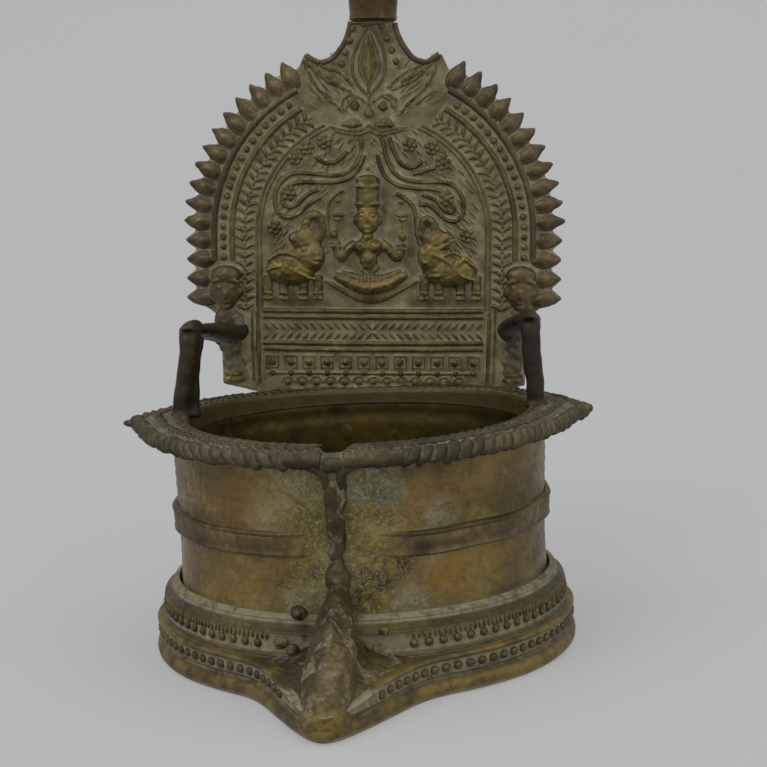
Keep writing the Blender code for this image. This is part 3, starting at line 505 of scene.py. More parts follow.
def recast(name, node, voxel, soften, factor=0.6, wave=0.0, wave_size=4.0):
    """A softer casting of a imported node: merged, remeshed, smoothed and made uneven."""
    piece = bpy.data.objects.new(name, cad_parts[node].data.copy())
    piece.data.materials.clear()
    bpy.context.scene.collection.objects.link(piece)
    in_edit(piece, lambda: bpy.ops.mesh.remove_doubles(threshold=0.00002))
    return smooth(uneven(fused(piece, voxel, soften, factor), wave, wave_size), 60)


def uneven(piece, depth, size):
    """The slight unevenness of a hand-finished casting, along each point's normal."""
    mesh = piece.data
    moves = [v.normal * depth * MM * noise.noise(v.co / (size * MM)) for v in mesh.vertices]
    for point, move in zip(mesh.vertices, moves):
        point.co += move
    mesh.update()
    return piece


def fit(piece, finish, *nodes, slot=None):
    """Give a finished piece its metal, its body and the nodes that it stands for."""
    piece.data.materials.clear()
    piece.data.materials.append(FINISHES[finish])
    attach(piece, "root")
    if nodes:
        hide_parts(*nodes)
    return piece


def on_plate(u, z, proud=0.0, turn=0.0, scale=1.0):
    """A place on the plate's face: across, up and forward in millimetres."""
    return (
        Matrix.Translation((u * MM, PLATE_FACE - proud * MM, z * MM))
        @ Matrix.Rotation(turn, 4, "Y")
        @ Matrix.Scale(scale, 4)
    )


def round_axis(bearing, radius, z):
    """Point at a bearing from +X round the lamp's axis."""
    return (radius * math.cos(bearing), AXIS_MM + radius * math.sin(bearing), z)


def from_spout(bearing):
    """Angle between a bearing and the spout's."""
    return abs(math.remainder(bearing + math.pi / 2 - SPOUT_TURN, 2 * math.pi))


# ---- foot ---------------------------------------------------------------------
TOE_FLARE, TOE_TIP, NOSE_BLEND = 45.8, 0.06, 24
PLINTH_R, TOE_REACH, BORE_R, COLLAR_R = 51.8, 77.0, 40.0, 49.1


def foot_plan(bearing, inset):
    """Radius of the foot's plan at a bearing from its toe."""
    radius, reach, flare = PLINTH_R - inset, TOE_REACH - 1.5 * inset, TOE_FLARE - 0.95 * inset
    if math.cos(bearing) < 0.4:
        return radius
    side = math.hypot(math.sin(bearing), TOE_TIP)
    edge = flare / (side + (flare / reach - TOE_TIP) * math.cos(bearing))
    return radius * (1 + (edge / radius) ** NOSE_BLEND) ** (1 / NOSE_BLEND)


def foot_point(bearing, radius, z):
    return (radius * math.sin(bearing), AXIS_MM - radius * math.cos(bearing), z)


def dense_toe(turn):
    """Bearings crowded towards the toe, where the plan turns fastest."""
    return turn - 0.82 * math.sin(turn)


def toe_drop(reach, z):
    """The foot's steps sink towards the tip of the toe."""
    share = max(0.0, min(1.0, (reach - 56) / 20))
    return z * (1 - 0.34 * share * share * (3 - 2 * share)) if z > 3.5 else z


def make_plinth():
    outer = [(1.7, 0.0), (0.7, 0.25), (0.15, 1.0), (0.0, 1.9), (0.2, 2.9), (0.8, 3.7), (1.7, 4.1), (2.3, 4.35),
             (2.3, 4.6), (1.5, 4.8), (1.25, 5.1), (1.2, 6.5), (1.25, 7.9), (0.8, 8.15), (0.35, 8.5),
             (0.25, 8.9), (0.6, 9.3), (1.4, 9.5)]
    inner = [(BORE_R + 3, 9.5), (BORE_R, 9.3), (BORE_R, 0.3), (BORE_R + 0.3, 0.0)]
    count = len(outer) + len(inner)

    def place_of(turn, level):
        level %= count
        bearing = dense_toe(turn)
        if level < len(outer):
            inset, z = outer[level]
            radius = foot_plan(bearing, inset)
            wobble = 0.18 * noise.noise(Vector((math.cos(bearing) * 3, math.sin(bearing) * 3, z * 0.2)))
            z = toe_drop(radius * math.cos(bearing), z)
            return foot_point(bearing, radius + wobble, z)
        radius, z = inner[level - len(outer)]
        return foot_point(bearing, radius, z)

    piece = settle(wrapped("foot_plinth_cast", 420, count, place_of), TURN)
    fit(smooth(piece, 45), "foot", "foot_plinth")


def outline_places(inset, z, pitch, start, end, lift=0.0):
    """Places along the foot's side, facing outwards, from one bearing to another."""
    places = []
    bearing = start
    while bearing < end:
        radius = foot_plan(bearing, inset)
        ahead = bearing + 0.002
        here = Vector(foot_point(bearing, radius, toe_drop(radius * math.cos(bearing), z)))
        there = Vector(foot_point(ahead, foot_plan(ahead, inset), here.z))
        along = (there - here)
        step = along.length / 0.002
        along.normalize()
        out = Vector((along.y, -along.x, 0))
        if out.dot(here - Vector((0, AXIS_MM, z))) < 0:
            out = -out
        turn = Matrix((along, out, Vector((0, 0, 1)))).transposed().to_4x4()
        places.append(TURN @ Matrix.Translation((here + out * lift) * MM) @ turn)
        bearing += pitch / step
    return places


def collar_places(radius, z, pitch):
    """Places round the collar, facing outwards and clear of the toe."""
    clear, step = 0.34, pitch / COLLAR_R
    bearings = [clear + i * pitch / COLLAR_R for i in range(int((2 * math.pi - 2 * clear) / step) + 1)]
    return [TURN @ Matrix.Translation(Vector(foot_point(b, radius, z)) * MM) @ Matrix.Rotation(b, 4, "Z")
            for b in bearings]


def make_foot_beads():
    for name, pattern, places in (
        ("lower_foot_beads", dome((2.3, 1.7, 2.0), 10, 6),
         outline_places(1.2, 6.5, 3.15, 0.17, 2 * math.pi - 0.15, 0.1)),
        ("upper_foot_beads", dome((2.0, 1.7, 2.0), 12, 8), collar_places(COLLAR_R, 12.3, 3.45)),
        ("collar_fringe", dome((0.62, 0.9, 1.7), 8, 6), collar_places(COLLAR_R + 0.05, 14.1, 1.25)),
    ):
        fit(smooth(row(name, pattern, places)), "bead")


def make_collar():
    rows = [(49.2, 9.5), (49.75, 9.8), (49.8, 10.3), (49.3, 10.8), (48.95, 11.1), (48.9, 12.5), (48.9, 14.2),
            (49.05, 14.8), (49.4, 15.1), (49.3, 15.5), (48.7, 15.8), (47.6, 17.0), (47.1, 17.35),
            (47.25, 17.7), (47.1, 18.0), (46.6, 18.2), (46.0, 18.6), (45.75, 18.6), (45.75, 9.5)]

    def place_of(turn, level):
        radius, z = rows[level % len(rows)]
        uneven_edge = 0.15 * noise.noise(Vector((math.cos(turn) * 4, math.sin(turn) * 4, z * 0.3)))
        return foot_point(turn, radius + uneven_edge, z + uneven_edge * 0.6)

    piece = wrapped("foot_collar_cast", 256, len(rows), place_of)
    fit(smooth(piece, 40), "foot", "foot_collar")


def toe_half_width(reach, inset):
    """Half the toe's width at a distance forward of the axis."""
    best = 0.0
    for i in range(1, 240):
        bearing = i * 0.0045
        radius = foot_plan(bearing, inset)
        if radius * math.cos(bearing) >= reach:
            best = radius * math.sin(bearing)
    return best


def make_keel():
    """The prow over the toe: a soft central ridge with hollow flanks."""
    across, along, start = 40, 48, 44.6
    stations = []
    for j in range(along + 1):
        reach = start + (TOE_REACH - 2.4 - start) * j / along
        half = max(1.2, min(toe_half_width(reach, 1.9), 17.5))
        edge = toe_drop(reach, 9.5) - 0.35
        crown = 22.6 - 0.475 * (reach - start)
        stations.append((reach, half, edge, max(crown, edge + 1.1)))
    bpy.ops.mesh.primitive_grid_add(x_subdivisions=across, y_subdivisions=along, size=1)
    prow = bpy.context.object
    for point in prow.data.vertices:
        share = point.co.x * 2
        reach, half, edge, crown = stations[round((point.co.y + 0.5) * along)]
        q = abs(share)
        rise = 0.5 * (1 - q) ** 1.4 + 0.5 * math.exp(-((q * half / 4.0) ** 2))
        z = edge + (crown - edge) * rise
        z += 0.8 * noise.noise(Vector((share * half * 0.25, reach * 0.22, 4.0))) * (1 - q)
        z += 0.4 * noise.noise(Vector((share * half * 0.7, reach * 0.7, 1.0))) * (1 - q)
        point.co = Vector((share * half, AXIS_MM - reach, z)) * MM
    outward(prow)
    if prow.data.polygons[0].normal.z < 0:
        in_edit(prow, lambda: bpy.ops.mesh.flip_normals())
    change(prow, "SOLIDIFY", thickness=1.2 * MM, offset=-1)

    def swollen(t):
        return 0.58 + 0.75 * min(1, t * 1.5) - 0.32 * max(0, t - 0.7) / 0.3

    def down_the_toe(*stops):
        return [(0, AXIS_MM - reach, z) for reach, z in stops]

    nose = strand(down_the_toe((45.2, 23.6), (50.5, 20.2), (57, 16.0), (64, 11.2), (69.5, 7.6), (71.8, 4.9)),
                  4.7, turns=8, sides=5, taper=swollen)
    ridge = strand(down_the_toe((46, 25.4), (55, 21.6), (64, 16.6), (72, 10.4), (75.6, 4.6)),
                   1.7, turns=8, sides=3)
    tip = dome((11.5, 8.0, 7.6), 24, 16, (0, AXIS_MM - 72.6, 4.0))
    parts = [settle(part, TURN) for part in (prow, nose, ridge, tip)]
    # scrolls and drops beside the ridge: size, facets, (across, forward, up), turn
    for size, facets, (x, reach, z), turn in (
        ((4.6, 2.0, 3.6), (16, 12), (-11.6, 47.6, 19.8), 0.3),
        ((2.2, 1.6, 2.2), (12, 8), (-11.8, 48.8, 19.9), 0.0),
        ((3.8, 2.2, 3.4), (14, 10), (-15.6, 48.6, 13.4), 0.4),
        ((3.2, 2.2, 3.0), (14, 10), (-12.8, 50.6, 12.4), 0.4),
        ((2.4, 2.0, 2.2), (12, 8), (7.2, 50.6, 16.2), 0.0),
        ((2.6, 2.2, 2.4), (12, 8), (4.2, 55.0, 14.0), 0.0),
    ):
        parts.append(dome(size, *facets, (x, AXIS_MM - reach, z), turn))
    keel = fused(joined("toe_keel_cast", parts), 0.38, 5, 0.6)
    fit(smooth(uneven(uneven(keel, 0.35, 3.2), 0.2, 1.1), 60), "keel", "toe_keel")


# ---- drum ---------------------------------------------------------------------
def make_drum():
    radius = DRUM_MM
    bore = radius - 3
    outside = [(radius, 9.7 + 42.4 * i / 44) for i in range(45)]
    inside = [(bore + 0.3, 52.2), (bore, 51.6), (bore + 0.25, 50.4), (bore + 0.3, 48.5), (bore, 47.6)]
    inside += [(bore, 46 - 2.2 * i) for i in range(11)]
    inside += [(bore - 0.5, 21.2), (bore - 1.6, 20.1), (bore - 3.2, 19.45), (34, 19.3), (24, 19.3), (12, 19.25),
               (0.0, 19.2)]
    under = [(0.0, 16.3), (20, 16.3), (radius - 3.4, 16.3), (radius - 2.6, 14.0), (radius - 2.6, 9.7)]
    rows = outside + inside + under

    def place_of(turn, level):
        level %= len(rows)
        r, z = rows[level]
        if level < len(outside):
            share = (z - 9.7) / 42.4
            r -= 0.55 * math.sin(math.pi * share)
            r += 0.28 * noise.noise(Vector((math.cos(turn) * 2.2, math.sin(turn) * 2.2, z * 0.06)))
            r += 0.07 * math.sin(z * 2.3) * (0.4 + share)
            front = max(0.0, -math.sin(turn) - 0.75) * 4
            dents = Vector((r * math.cos(turn) * 0.5, r * math.sin(turn) * 0.5, z * 0.5))
            r += front * 0.22 * noise.noise(dents)
        elif r > bore - 1:
            r += 0.06 * math.sin(z * 3.1)
        return round_axis(turn, r, z)

    piece = wrapped("oil_drum", 256, len(rows), place_of)
    fit(smooth(piece, 45), "drum", "reservoir")


def make_belt():
    rows = [(45.2, 31.0), (46.1, 31.2), (46.5, 31.6), (46.3, 32.0), (46.1, 32.3), (46.4, 33.2), (46.5, 34.4),
            (46.5, 35.3), (46.2, 35.7), (46.6, 36.0), (46.9, 36.4), (46.6, 36.8), (45.2, 37.0)]

    def place_of(turn, level):
        r, z = rows[level % len(rows)]
        sag = 0.55 * noise.noise(Vector((math.cos(turn) * 2.6, math.sin(turn) * 2.6, 3.1)))
        wear_and_glint = 0.5 + 0.5 * noise.noise(Vector((math.cos(turn) * 5, math.sin(turn) * 5, 7.7)))
        shown = max(0.0, min(1.0, (from_spout(turn) - 0.1) / 0.45)) ** 0.7
        r = 44.3 + (0.9 + (r - 45.2) * (0.45 + 0.75 * wear_and_glint)) * shown
        return round_axis(turn, r, z + sag)

    piece = wrapped("drum_belt", 256, len(rows), place_of)
    fit(smooth(piece, 60), "belt", "drum_band")


# ---- rim ----------------------------------------------------------------------
RIM_BORE, LEAF_BED, RIM_TOP = 41.6, 41.8, 56.0
def rim_edge(angle, offset=0.0):
    nearest = math.asin(min(1, abs(math.sin(angle))))
    swell = max(0, 1 - nearest / math.radians(66))
    beak = max(0, 1 - nearest / math.radians(9))
    return 48.3 + offset + 2.8 * swell**1.3 + 2.1 * beak


def rim_rise(angle):
    """The rim's saddle: its two sides stand a little higher."""
    return 1.35 * math.cos(angle) ** 2


def make_rim():
    rows = [("in", 0.0, 52.5, 0), ("out", -3.5, 52.35, 0), ("out", -1.2, 52.7, 0.3), ("out", -0.2, 53.4, 1),
            ("out", -0.1, 54.6, 1), ("out", -0.5, 55.4, 1), ("out", -1.2, 55.8, 1), ("mix", 0.75, 56.0, 1),
            ("mix", 0.5, 56.1, 1), ("mix", 0.25, 56.0, 1), ("in", 1.1, 55.95, 1), ("in", 0.45, 56.05, 1),
            ("in", 0.05, 55.7, 1), ("in", 0.0, 55.0, 1), ("in", 0.1, 53.4, 0.5)]

    def place_of(turn, level):
        kind, amount, z, share = rows[level % len(rows)]
        gap = max(0.0, 1 - (from_spout(turn) / math.radians(5.0)) ** 2)
        opening = RIM_BORE + 4.3 * gap
        edge = rim_edge(turn)
        if kind == "in":
            r = opening + amount
        elif kind == "out":
            r = edge + amount
        else:
            r = opening + 1.1 + (edge - 1.2 - opening - 1.1) * amount
        z += share * rim_rise(turn) - share * gap * (1 if kind != "out" else 0.4)
        z += share * 0.22 * noise.noise(Vector((math.cos(turn) * 3, math.sin(turn) * 3, r * 0.2)))
        x, y, z = round_axis(turn, r, z)
        return x, min(y, AXIS_MM + 47.2), z

    piece = wrapped("rim_flange_cast", 360, len(rows), place_of)
    fit(smooth(piece, 50), "rim", "rim_flange")


def make_rim_leaves():
    places = []
    for share, tilt in ((0.26, 0.55), (0.72, -0.55)):
        angle = 0.0
        while angle < 2 * math.pi:
            r = LEAF_BED + (rim_edge(angle) - 0.4 - LEAF_BED) * share
            if r * math.sin(angle) < 45.5 and from_spout(angle) > 0.09:
                spin = angle + math.pi / 2 + tilt + random.uniform(-0.15, 0.15)
                place = Vector(round_axis(angle, r, RIM_TOP + rim_rise(angle))) * MM
                places.append(Matrix.Translation(place) @ Matrix.Rotation(spin, 4, "Z")
                              @ Matrix.Scale(random.uniform(0.85, 1.1), 4))
            angle += 2.45 / r
    piece = row("rim_leaves", dome((3.9, 1.6, 1.35), 8, 6), places)
    fit(smooth(piece), "rope", slot="aged_brass")


def make_ropes():
    """Ropes of slanting cast lobes: fine near the tips, swelling towards the spout."""
    start = math.radians(70)
    for side, word in SIDES:
        total = math.radians(156.6) - side * SPOUT_TURN
        plain = math.radians(17 if side > 0 else 12)
        places, core, sweep = [], [], 0.0
        while sweep < total:
            bearing = start - sweep if side > 0 else math.pi - start + sweep
            away = from_spout(bearing)
            grown = max(0.0, min(1.0, (1.45 - away) / 0.8))
            r = rim_edge(bearing, 1.7 - 0.3 * grown)
            place = Vector(round_axis(bearing, r, 54.2 + rim_rise(bearing) - 0.3 * grown)) * MM
            if place.y < AXIS_Y + 46.0 * MM and away > plain:
                size = 0.92 + 0.24 * grown + random.uniform(-0.07, 0.07)
                slant = -side * (0.95 - 0.15 * grown + random.uniform(-0.15, 0.15))
                places.append(Matrix.Translation(place) @ Matrix.Rotation(bearing, 4, "Z")
                              @ Matrix.Rotation(slant, 4, "X") @ Matrix.Scale(size, 4))
            sweep += (1.55 + 1.55 * grown) / r
        for i in range(41):
            b = start - total * i / 40 if side > 0 else math.pi - start + total * i / 40
            point = round_axis(b, rim_edge(b, 0.7), 54.1 + rim_rise(b))
            if point[1] < AXIS_MM + 45.0:
                core.append(point)
        lobe = shaped(dome((3.5, 2.5, 4.9), 14, 12), lambda x, y, z: (x * (1 - 0.1 * z), y * (1 + 0.12 * z), z))
        pieces = [row("rope_lobes", lobe, places), strand(core, 1.55, sides=3)]
        steps = [SPOUT_BEARING + side * plain * (0.2 + 0.85 * i / 9) for i in range(10)]
        pieces.append(strand([round_axis(b, rim_edge(b, 1.2), 54.0) for b in steps], 1.8, sides=3))
        pieces += [dome((1.6, 1.9, 1.5), 8, 6, round_axis(b, rim_edge(b, 0.6), 55.5)) for b in steps[1:]]
        rope = uneven(outward(joined("rim_rope_cast_" + word, pieces)), 0.45, 1.5)
        fit(smooth(rope, 70), "rope", "rim_rope_" + word)


def make_rope_ends():
    for side, word in SIDES:
        bearing = 0.0 if side > 0 else math.pi
        reach, z = rim_edge(bearing) + 1.4, 54.3 + rim_rise(bearing)
        parts = [dome((4.6, 4.4, 3.9), 16, 12, (side * reach, AXIS_MM, z))]
        if side < 0:
            parts.append(dome((4.2, 2.6, 1.8), 14, 10, (-reach - 1.6, AXIS_MM - 0.4, z - 0.1), 0.1))
        else:
            parts.append(dome((2.4, 2.6, 2.2), 14, 10, (reach + 1.5, AXIS_MM - 0.8, z + 0.4)))
        fit(smooth(outward(joined("rim_tip_" + word, parts))), "rope")


def make_spout():
    front, face = AXIS_MM - 47.6, AXIS_MM - 45.4
    arm = ((6.2, -0.6, 53.2), (3.6, -1.5, 52.4), (1.7, -0.6, 50.4), (1.2, 0.7, 47.0))
    arms = [strand([(side * x, front + y, z) for x, y, z in arm], 1.25, turns=5, sides=3,
                   taper=lambda t: 1.0 - 0.35 * t) for side in (-1, 1)]
    arms.append(dome((9.4, 4.2, 3.4), 20, 12, (0, front - 0.5, 52.9)))
    lip = fused(settle(joined("wick_lip_cast", arms), TURN), 0.3, 4)
    fit(smooth(lip, 60), "rope", "wick_lip")
    rib = strand([(0, face, 52.4), (0, face - 0.3, 49), (0.2, face - 0.4, 44), (-0.1, face - 0.2, 38.5),
                  (0, face, 34), (0, face, 31.2)], 2.7, turns=6, sides=4, taper=lambda t: 1.12 - 0.5 * t)
    rib = uneven(fused(settle(joined("spout_rib_cast", [rib]), TURN), 0.35), 0.5, 2.4)
    fit(smooth(rib, 60), "keel", "spout_rib")
    middle = 27.4
    drop = dome((5.6, 5.2, 9.6), 24, 18, (0, face - 0.5, middle))
    shaped(drop, lambda x, y, z: (x * (1.0 - 0.045 * (z - middle)), y, z))
    knob = dome((2.4, 1.6, 2.6), 12, 8, (0, face - 2.8, 27.0))
    bud = fused(settle(joined("rib_bud_cast", [drop, knob]), TURN), 0.3, 3)
    fit(smooth(uneven(bud, 0.35, 1.8), 60), "keel", "rib_bud")


# ---- plate --------------------------------------------------------------------
# radii of the border's rows, from the petals inwards, and the petals' first and next bearings
PETAL_R, OUTER_RIB_R, BORDER_BEAD_R, MIDDLE_RIB_R, LEAF_PAIR_R, FIELD_R = 47.3, 43.2, 40.75, 38.3, 34.9, 29.3
ARCH_R, FIRST_PETAL, NEXT_PETAL = 51.3, 3.6, 5.82


def raised(name, parts, finish="relief", nodes=(), angle=50, rough=None, slot=None):
    """Relief on the plate: parts joined and leaned with it."""
    piece = settle(outward(joined(name, parts)), LEAN)
    if rough:
        uneven(piece, *rough)
    return fit(smooth(piece, angle), finish, *nodes, slot=slot)


def make_plate():
    fit(recast("back_plate_cast", "back_plate", 0.55, 2, 0.5, 0.16, 5.0), "plate", "back_plate")


def arch_walk(radius, foot, pitch, top_angle):
    """Places up each leg and on round the arch: (across, up, turn)."""
    places = []
    leg = ARCH_CENTRE - foot
    arc = math.radians(90 - top_angle) * radius
    for side in (-1, 1):
        along = 0.0
        while along <= leg + arc:
            swing = max(0.0, (along - leg) / radius)
            up = foot + along if along < leg else ARCH_CENTRE + radius * math.sin(swing)
            places.append((side * radius * math.cos(swing), up, -side * swing))
            along += pitch
    return places


def make_petals():
    def narrowed(x, y, z):
        share = 1 - 0.3 * max(0, (z + 0.7) / 3.3)
        return x * share, y * share, z

    bulge = shaped(dome((3.7, 3.4, 6.6), 16, 12, (0, 0, -0.7)), narrowed)
    tooth = dome((5.6, 2.2, 8.6), 18, 12)
    shaped(tooth, lambda x, y, z: (x * (1 - 0.62 * max(0, (z + 0.6) / 4.9)), y, z))
    pattern = joined("petal", [tooth, bulge])
    places = []
    for side in (-1, 1):
        for i in range(11):
            angle = math.radians(FIRST_PETAL + NEXT_PETAL * i)
            x, z = side * PETAL_R * math.cos(angle), ARCH_CENTRE + PETAL_R * math.sin(angle)
            places.append(on_plate(x, z, 0.1, side * (math.pi / 2 - angle)))
        for i in range(4):
            z = ARCH_CENTRE + ARCH_R * math.radians(FIRST_PETAL) - ARCH_R * math.radians(NEXT_PETAL) * (i + 1)
            places.append(on_plate(side * (PETAL_R - 0.7), z, 0.1, side * math.pi / 2, 0.96))
    raised("border_petals", repeated(pattern, places), "petals", angle=60, rough=(0.4, 1.9))


def arch_line(radius, foot, top_angle, side, proud, steps=26):
    """Points of one side of an arched rib."""
    points = [(side * radius, foot + (ARCH_CENTRE - foot) * i / 5) for i in range(5)]
    stop = math.radians(top_angle)
    points += [(side * radius * math.cos(stop * i / steps), ARCH_CENTRE + radius * math.sin(stop * i / steps))
               for i in range(steps + 1)]
    return [(x, FACE_MM - proud, z) for x, z in points]


def make_ribs():
    # each wire: radius, foot, top angle, proud, thickness, depth, sides
    ribs = (
        ("outer", "petals", [(OUTER_RIB_R, 90.5, 62, 0.45, 0.95, 1.1, 2)]),
        ("middle", "relief", [(MIDDLE_RIB_R, 90.5, 60, 0.4, 0.8, 1.1, 2)]),
        ("field", "relief", [(31.6, 77.0, 66, 0.35, 0.42, 1.3, 1), (30.5, 77.0, 67, 0.3, 0.36, 1.3, 1)]),
    )
    for side, word in SIDES:
        for kind, finish, wires in ribs:
            parts = [strand(arch_line(radius, foot, top, side, proud), thickness, depth, turns=4, sides=sides)
                     for radius, foot, top, proud, thickness, depth, sides in wires]
            raised(f"{kind}_rib_cast_{word}", parts, finish, [f"{kind}_rib_{word}"], 70)


def make_border_beads():
    places = [on_plate(x, z, 0.15) for x, z, _ in arch_walk(BORDER_BEAD_R, 91.5, 2.75, 31)]
    raised("border_beads", repeated(dome((2.0, 1.8, 2.0), 12, 8), places), rough=(0.3, 1.5))


def make_herringbone():
    """Stacked arched leaf pairs between the inner ribs."""
    halves = []
    for hand in (-1, 1):
        leaf = shaped(dome((1.15, 1.7, 3.0), 10, 8), lambda x, y, z: (x - 0.16 * z * z, y, z))
        aside = Matrix.Translation((hand * 1.15 * MM, 0, 0)) @ Matrix.Rotation(hand * 1.0, 4, "Y")
        halves.append(settle(leaf, aside @ Matrix.Rotation(math.pi if hand > 0 else 0, 4, "Z")))
    pattern = joined("leaf_pair", halves + [dome((0.9, 1.2, 1.3), 8, 6, (0, 0, 0.75))])
    places = [on_plate(x, z, 0.25, turn, random.uniform(0.9, 1.1))
              for x, z, turn in arch_walk(LEAF_PAIR_R, 78.0, 2.35, 27)]
    raised("herringbone_leaves", repeated(pattern, places), angle=70, rough=(0.3, 1.2))


def make_rosettes():
    parts = [dome((1.7, 1.5, 1.7), 10, 8, (0, -0.5, 0))]
    for i in range(6):
        a = i * math.pi / 3
        parts.append(dome((1.5, 1.3, 1.5), 8, 6, (1.45 * math.cos(a), -0.1, 1.45 * math.sin(a))))
    pattern = joined("rosette", parts)
    spots = [(-13.0, 122.4), (-17.9, 120.8), (-20.9, 118.2), (-22.9, 108.6), (-26.7, 99.5),
             (9.9, 121.6), (15.8, 120.8), (18.8, 116.8), (19.8, 107.2), (25.4, 97.3)]
    places = [on_plate(u, z, 0.5, random.uniform(0, 1)) for u, z in spots]
    raised("field_rosettes", repeated(pattern, places))


def drawn(lines, radius, proud, depth=1.2):
    """Raised lines on the plate's face through (across, up) points."""
    face = FACE_MM - proud
    return [strand([(u, face, z) for u, z in line], radius, depth, turns=4) for line in lines]


def make_vines():
    thick = [
        [(-3, 123.5), (-3, 119.6), (-5, 115.6), (-8.6, 113.2), (-13.9, 113.6), (-21.1, 114.4), (-25.1, 112),
         (-26.9, 107.2), (-25.9, 103.1), (-22.7, 101.7), (-19.1, 103.9), (-16.7, 106.3), (-14.1, 107.6)],
        [(-2.2, 119), (-3.4, 115.2), (-7, 112), (-11.8, 111.4), (-20.7, 111.8), (-23.9, 110), (-25.1, 106.7),
         (-22.9, 104.5), (-20.3, 105.5), (-17.9, 108.6), (-14.7, 109.6)],
        [(-15.3, 118.6), (-13.9, 116.8), (-11, 116.6), (-8.2, 118), (-7, 120)],
        [(2.3, 123.6), (3.5, 117.2), (6.3, 113.2), (11.1, 111.4), (20, 112), (23.6, 109.2), (25, 104.7),
         (23.2, 101.1), (20, 101.1), (17.2, 103.9), (14.8, 105.9), (12.3, 105.7)],
        [(1.2, 119), (1.9, 114.8), (5.1, 111.2), (10.7, 109.8), (18.8, 110), (22.4, 104.3), (20.8, 103.1),
         (18.4, 104.9), (16.4, 107.6), (13.1, 108.4)],
        [(4.3, 123.6), (5.9, 118.4), (8.7, 115.6), (11.5, 115.4), (13.2, 117.2)],
        [(10.7, 113.8), (14, 114.4), (16.8, 115.6)],
        [(-8, 109.6), (-11.4, 108), (-12.4, 104.3), (-12.2, 96.3)],
        [(6.1, 108.6), (10.3, 106.7), (11.7, 102.7), (11.7, 97.1), (13.6, 93.5)],
    ]
    raised("field_vines", drawn(thick, 0.68, 0.2), angle=70, rough=(0.25, 1.3))


def make_hatch():
    """Fine chased strokes filling the ground between the vines and beside the crest's leaf."""
    places = []
    for _ in range(520):
        u, z = random.uniform(-28, 28), random.uniform(92, 125)
        if math.hypot(u, z - ARCH_CENTRE) > FIELD_R and z > ARCH_CENTRE or (abs(u) < 12 and z < 116):
            continue
        lean = (0.75 if u < 0 else -0.75) + random.uniform(-0.15, 0.15)
        places.append(on_plate(u, z, 0.05, lean, random.uniform(0.8, 1.3)))
    for _ in range(150):
        u, z = random.uniform(-17, 17), random.uniform(129, 147)
        if abs(u) < 6.8 or z > 151 - abs(u) * 0.55 or z < 126 + abs(u) * 0.35:
            continue
        lean = (0.9 if u < 0 else -0.9) * (0.6 + 0.5 * (147 - z) / 18)
        places.append(on_plate(u, z, 0.05, -lean, random.uniform(0.8, 1.4)))
    raised("field_hatching", repeated(dome((0.42, 0.7, 2.4), 6, 6), places), slot="aged_brass")


def body_of(parts, name, voxel=0.26, soften=3, rough=0.3):
    """Masses fused into one casting with a slightly rough skin."""
    piece = uneven(fused(joined(name, parts), voxel, soften), rough, 1.1)
    return smooth(settle(piece, LEAN), 60)


def lump(u, z, proud, width, height, depth, turn=0.0):
    """A rounded mass on the plate's face."""
    return dome((width, depth, height), 20, 14, (u, FACE_MM - proud, z), math.radians(turn))


def cord(points, radius, proud=0.8, depth=1.0, taper=None):
    """A rounded line on the plate's face."""
    face = FACE_MM - proud
    return strand([(u, face, z) for u, z in points], radius, depth, turns=4, sides=2, taper=taper)


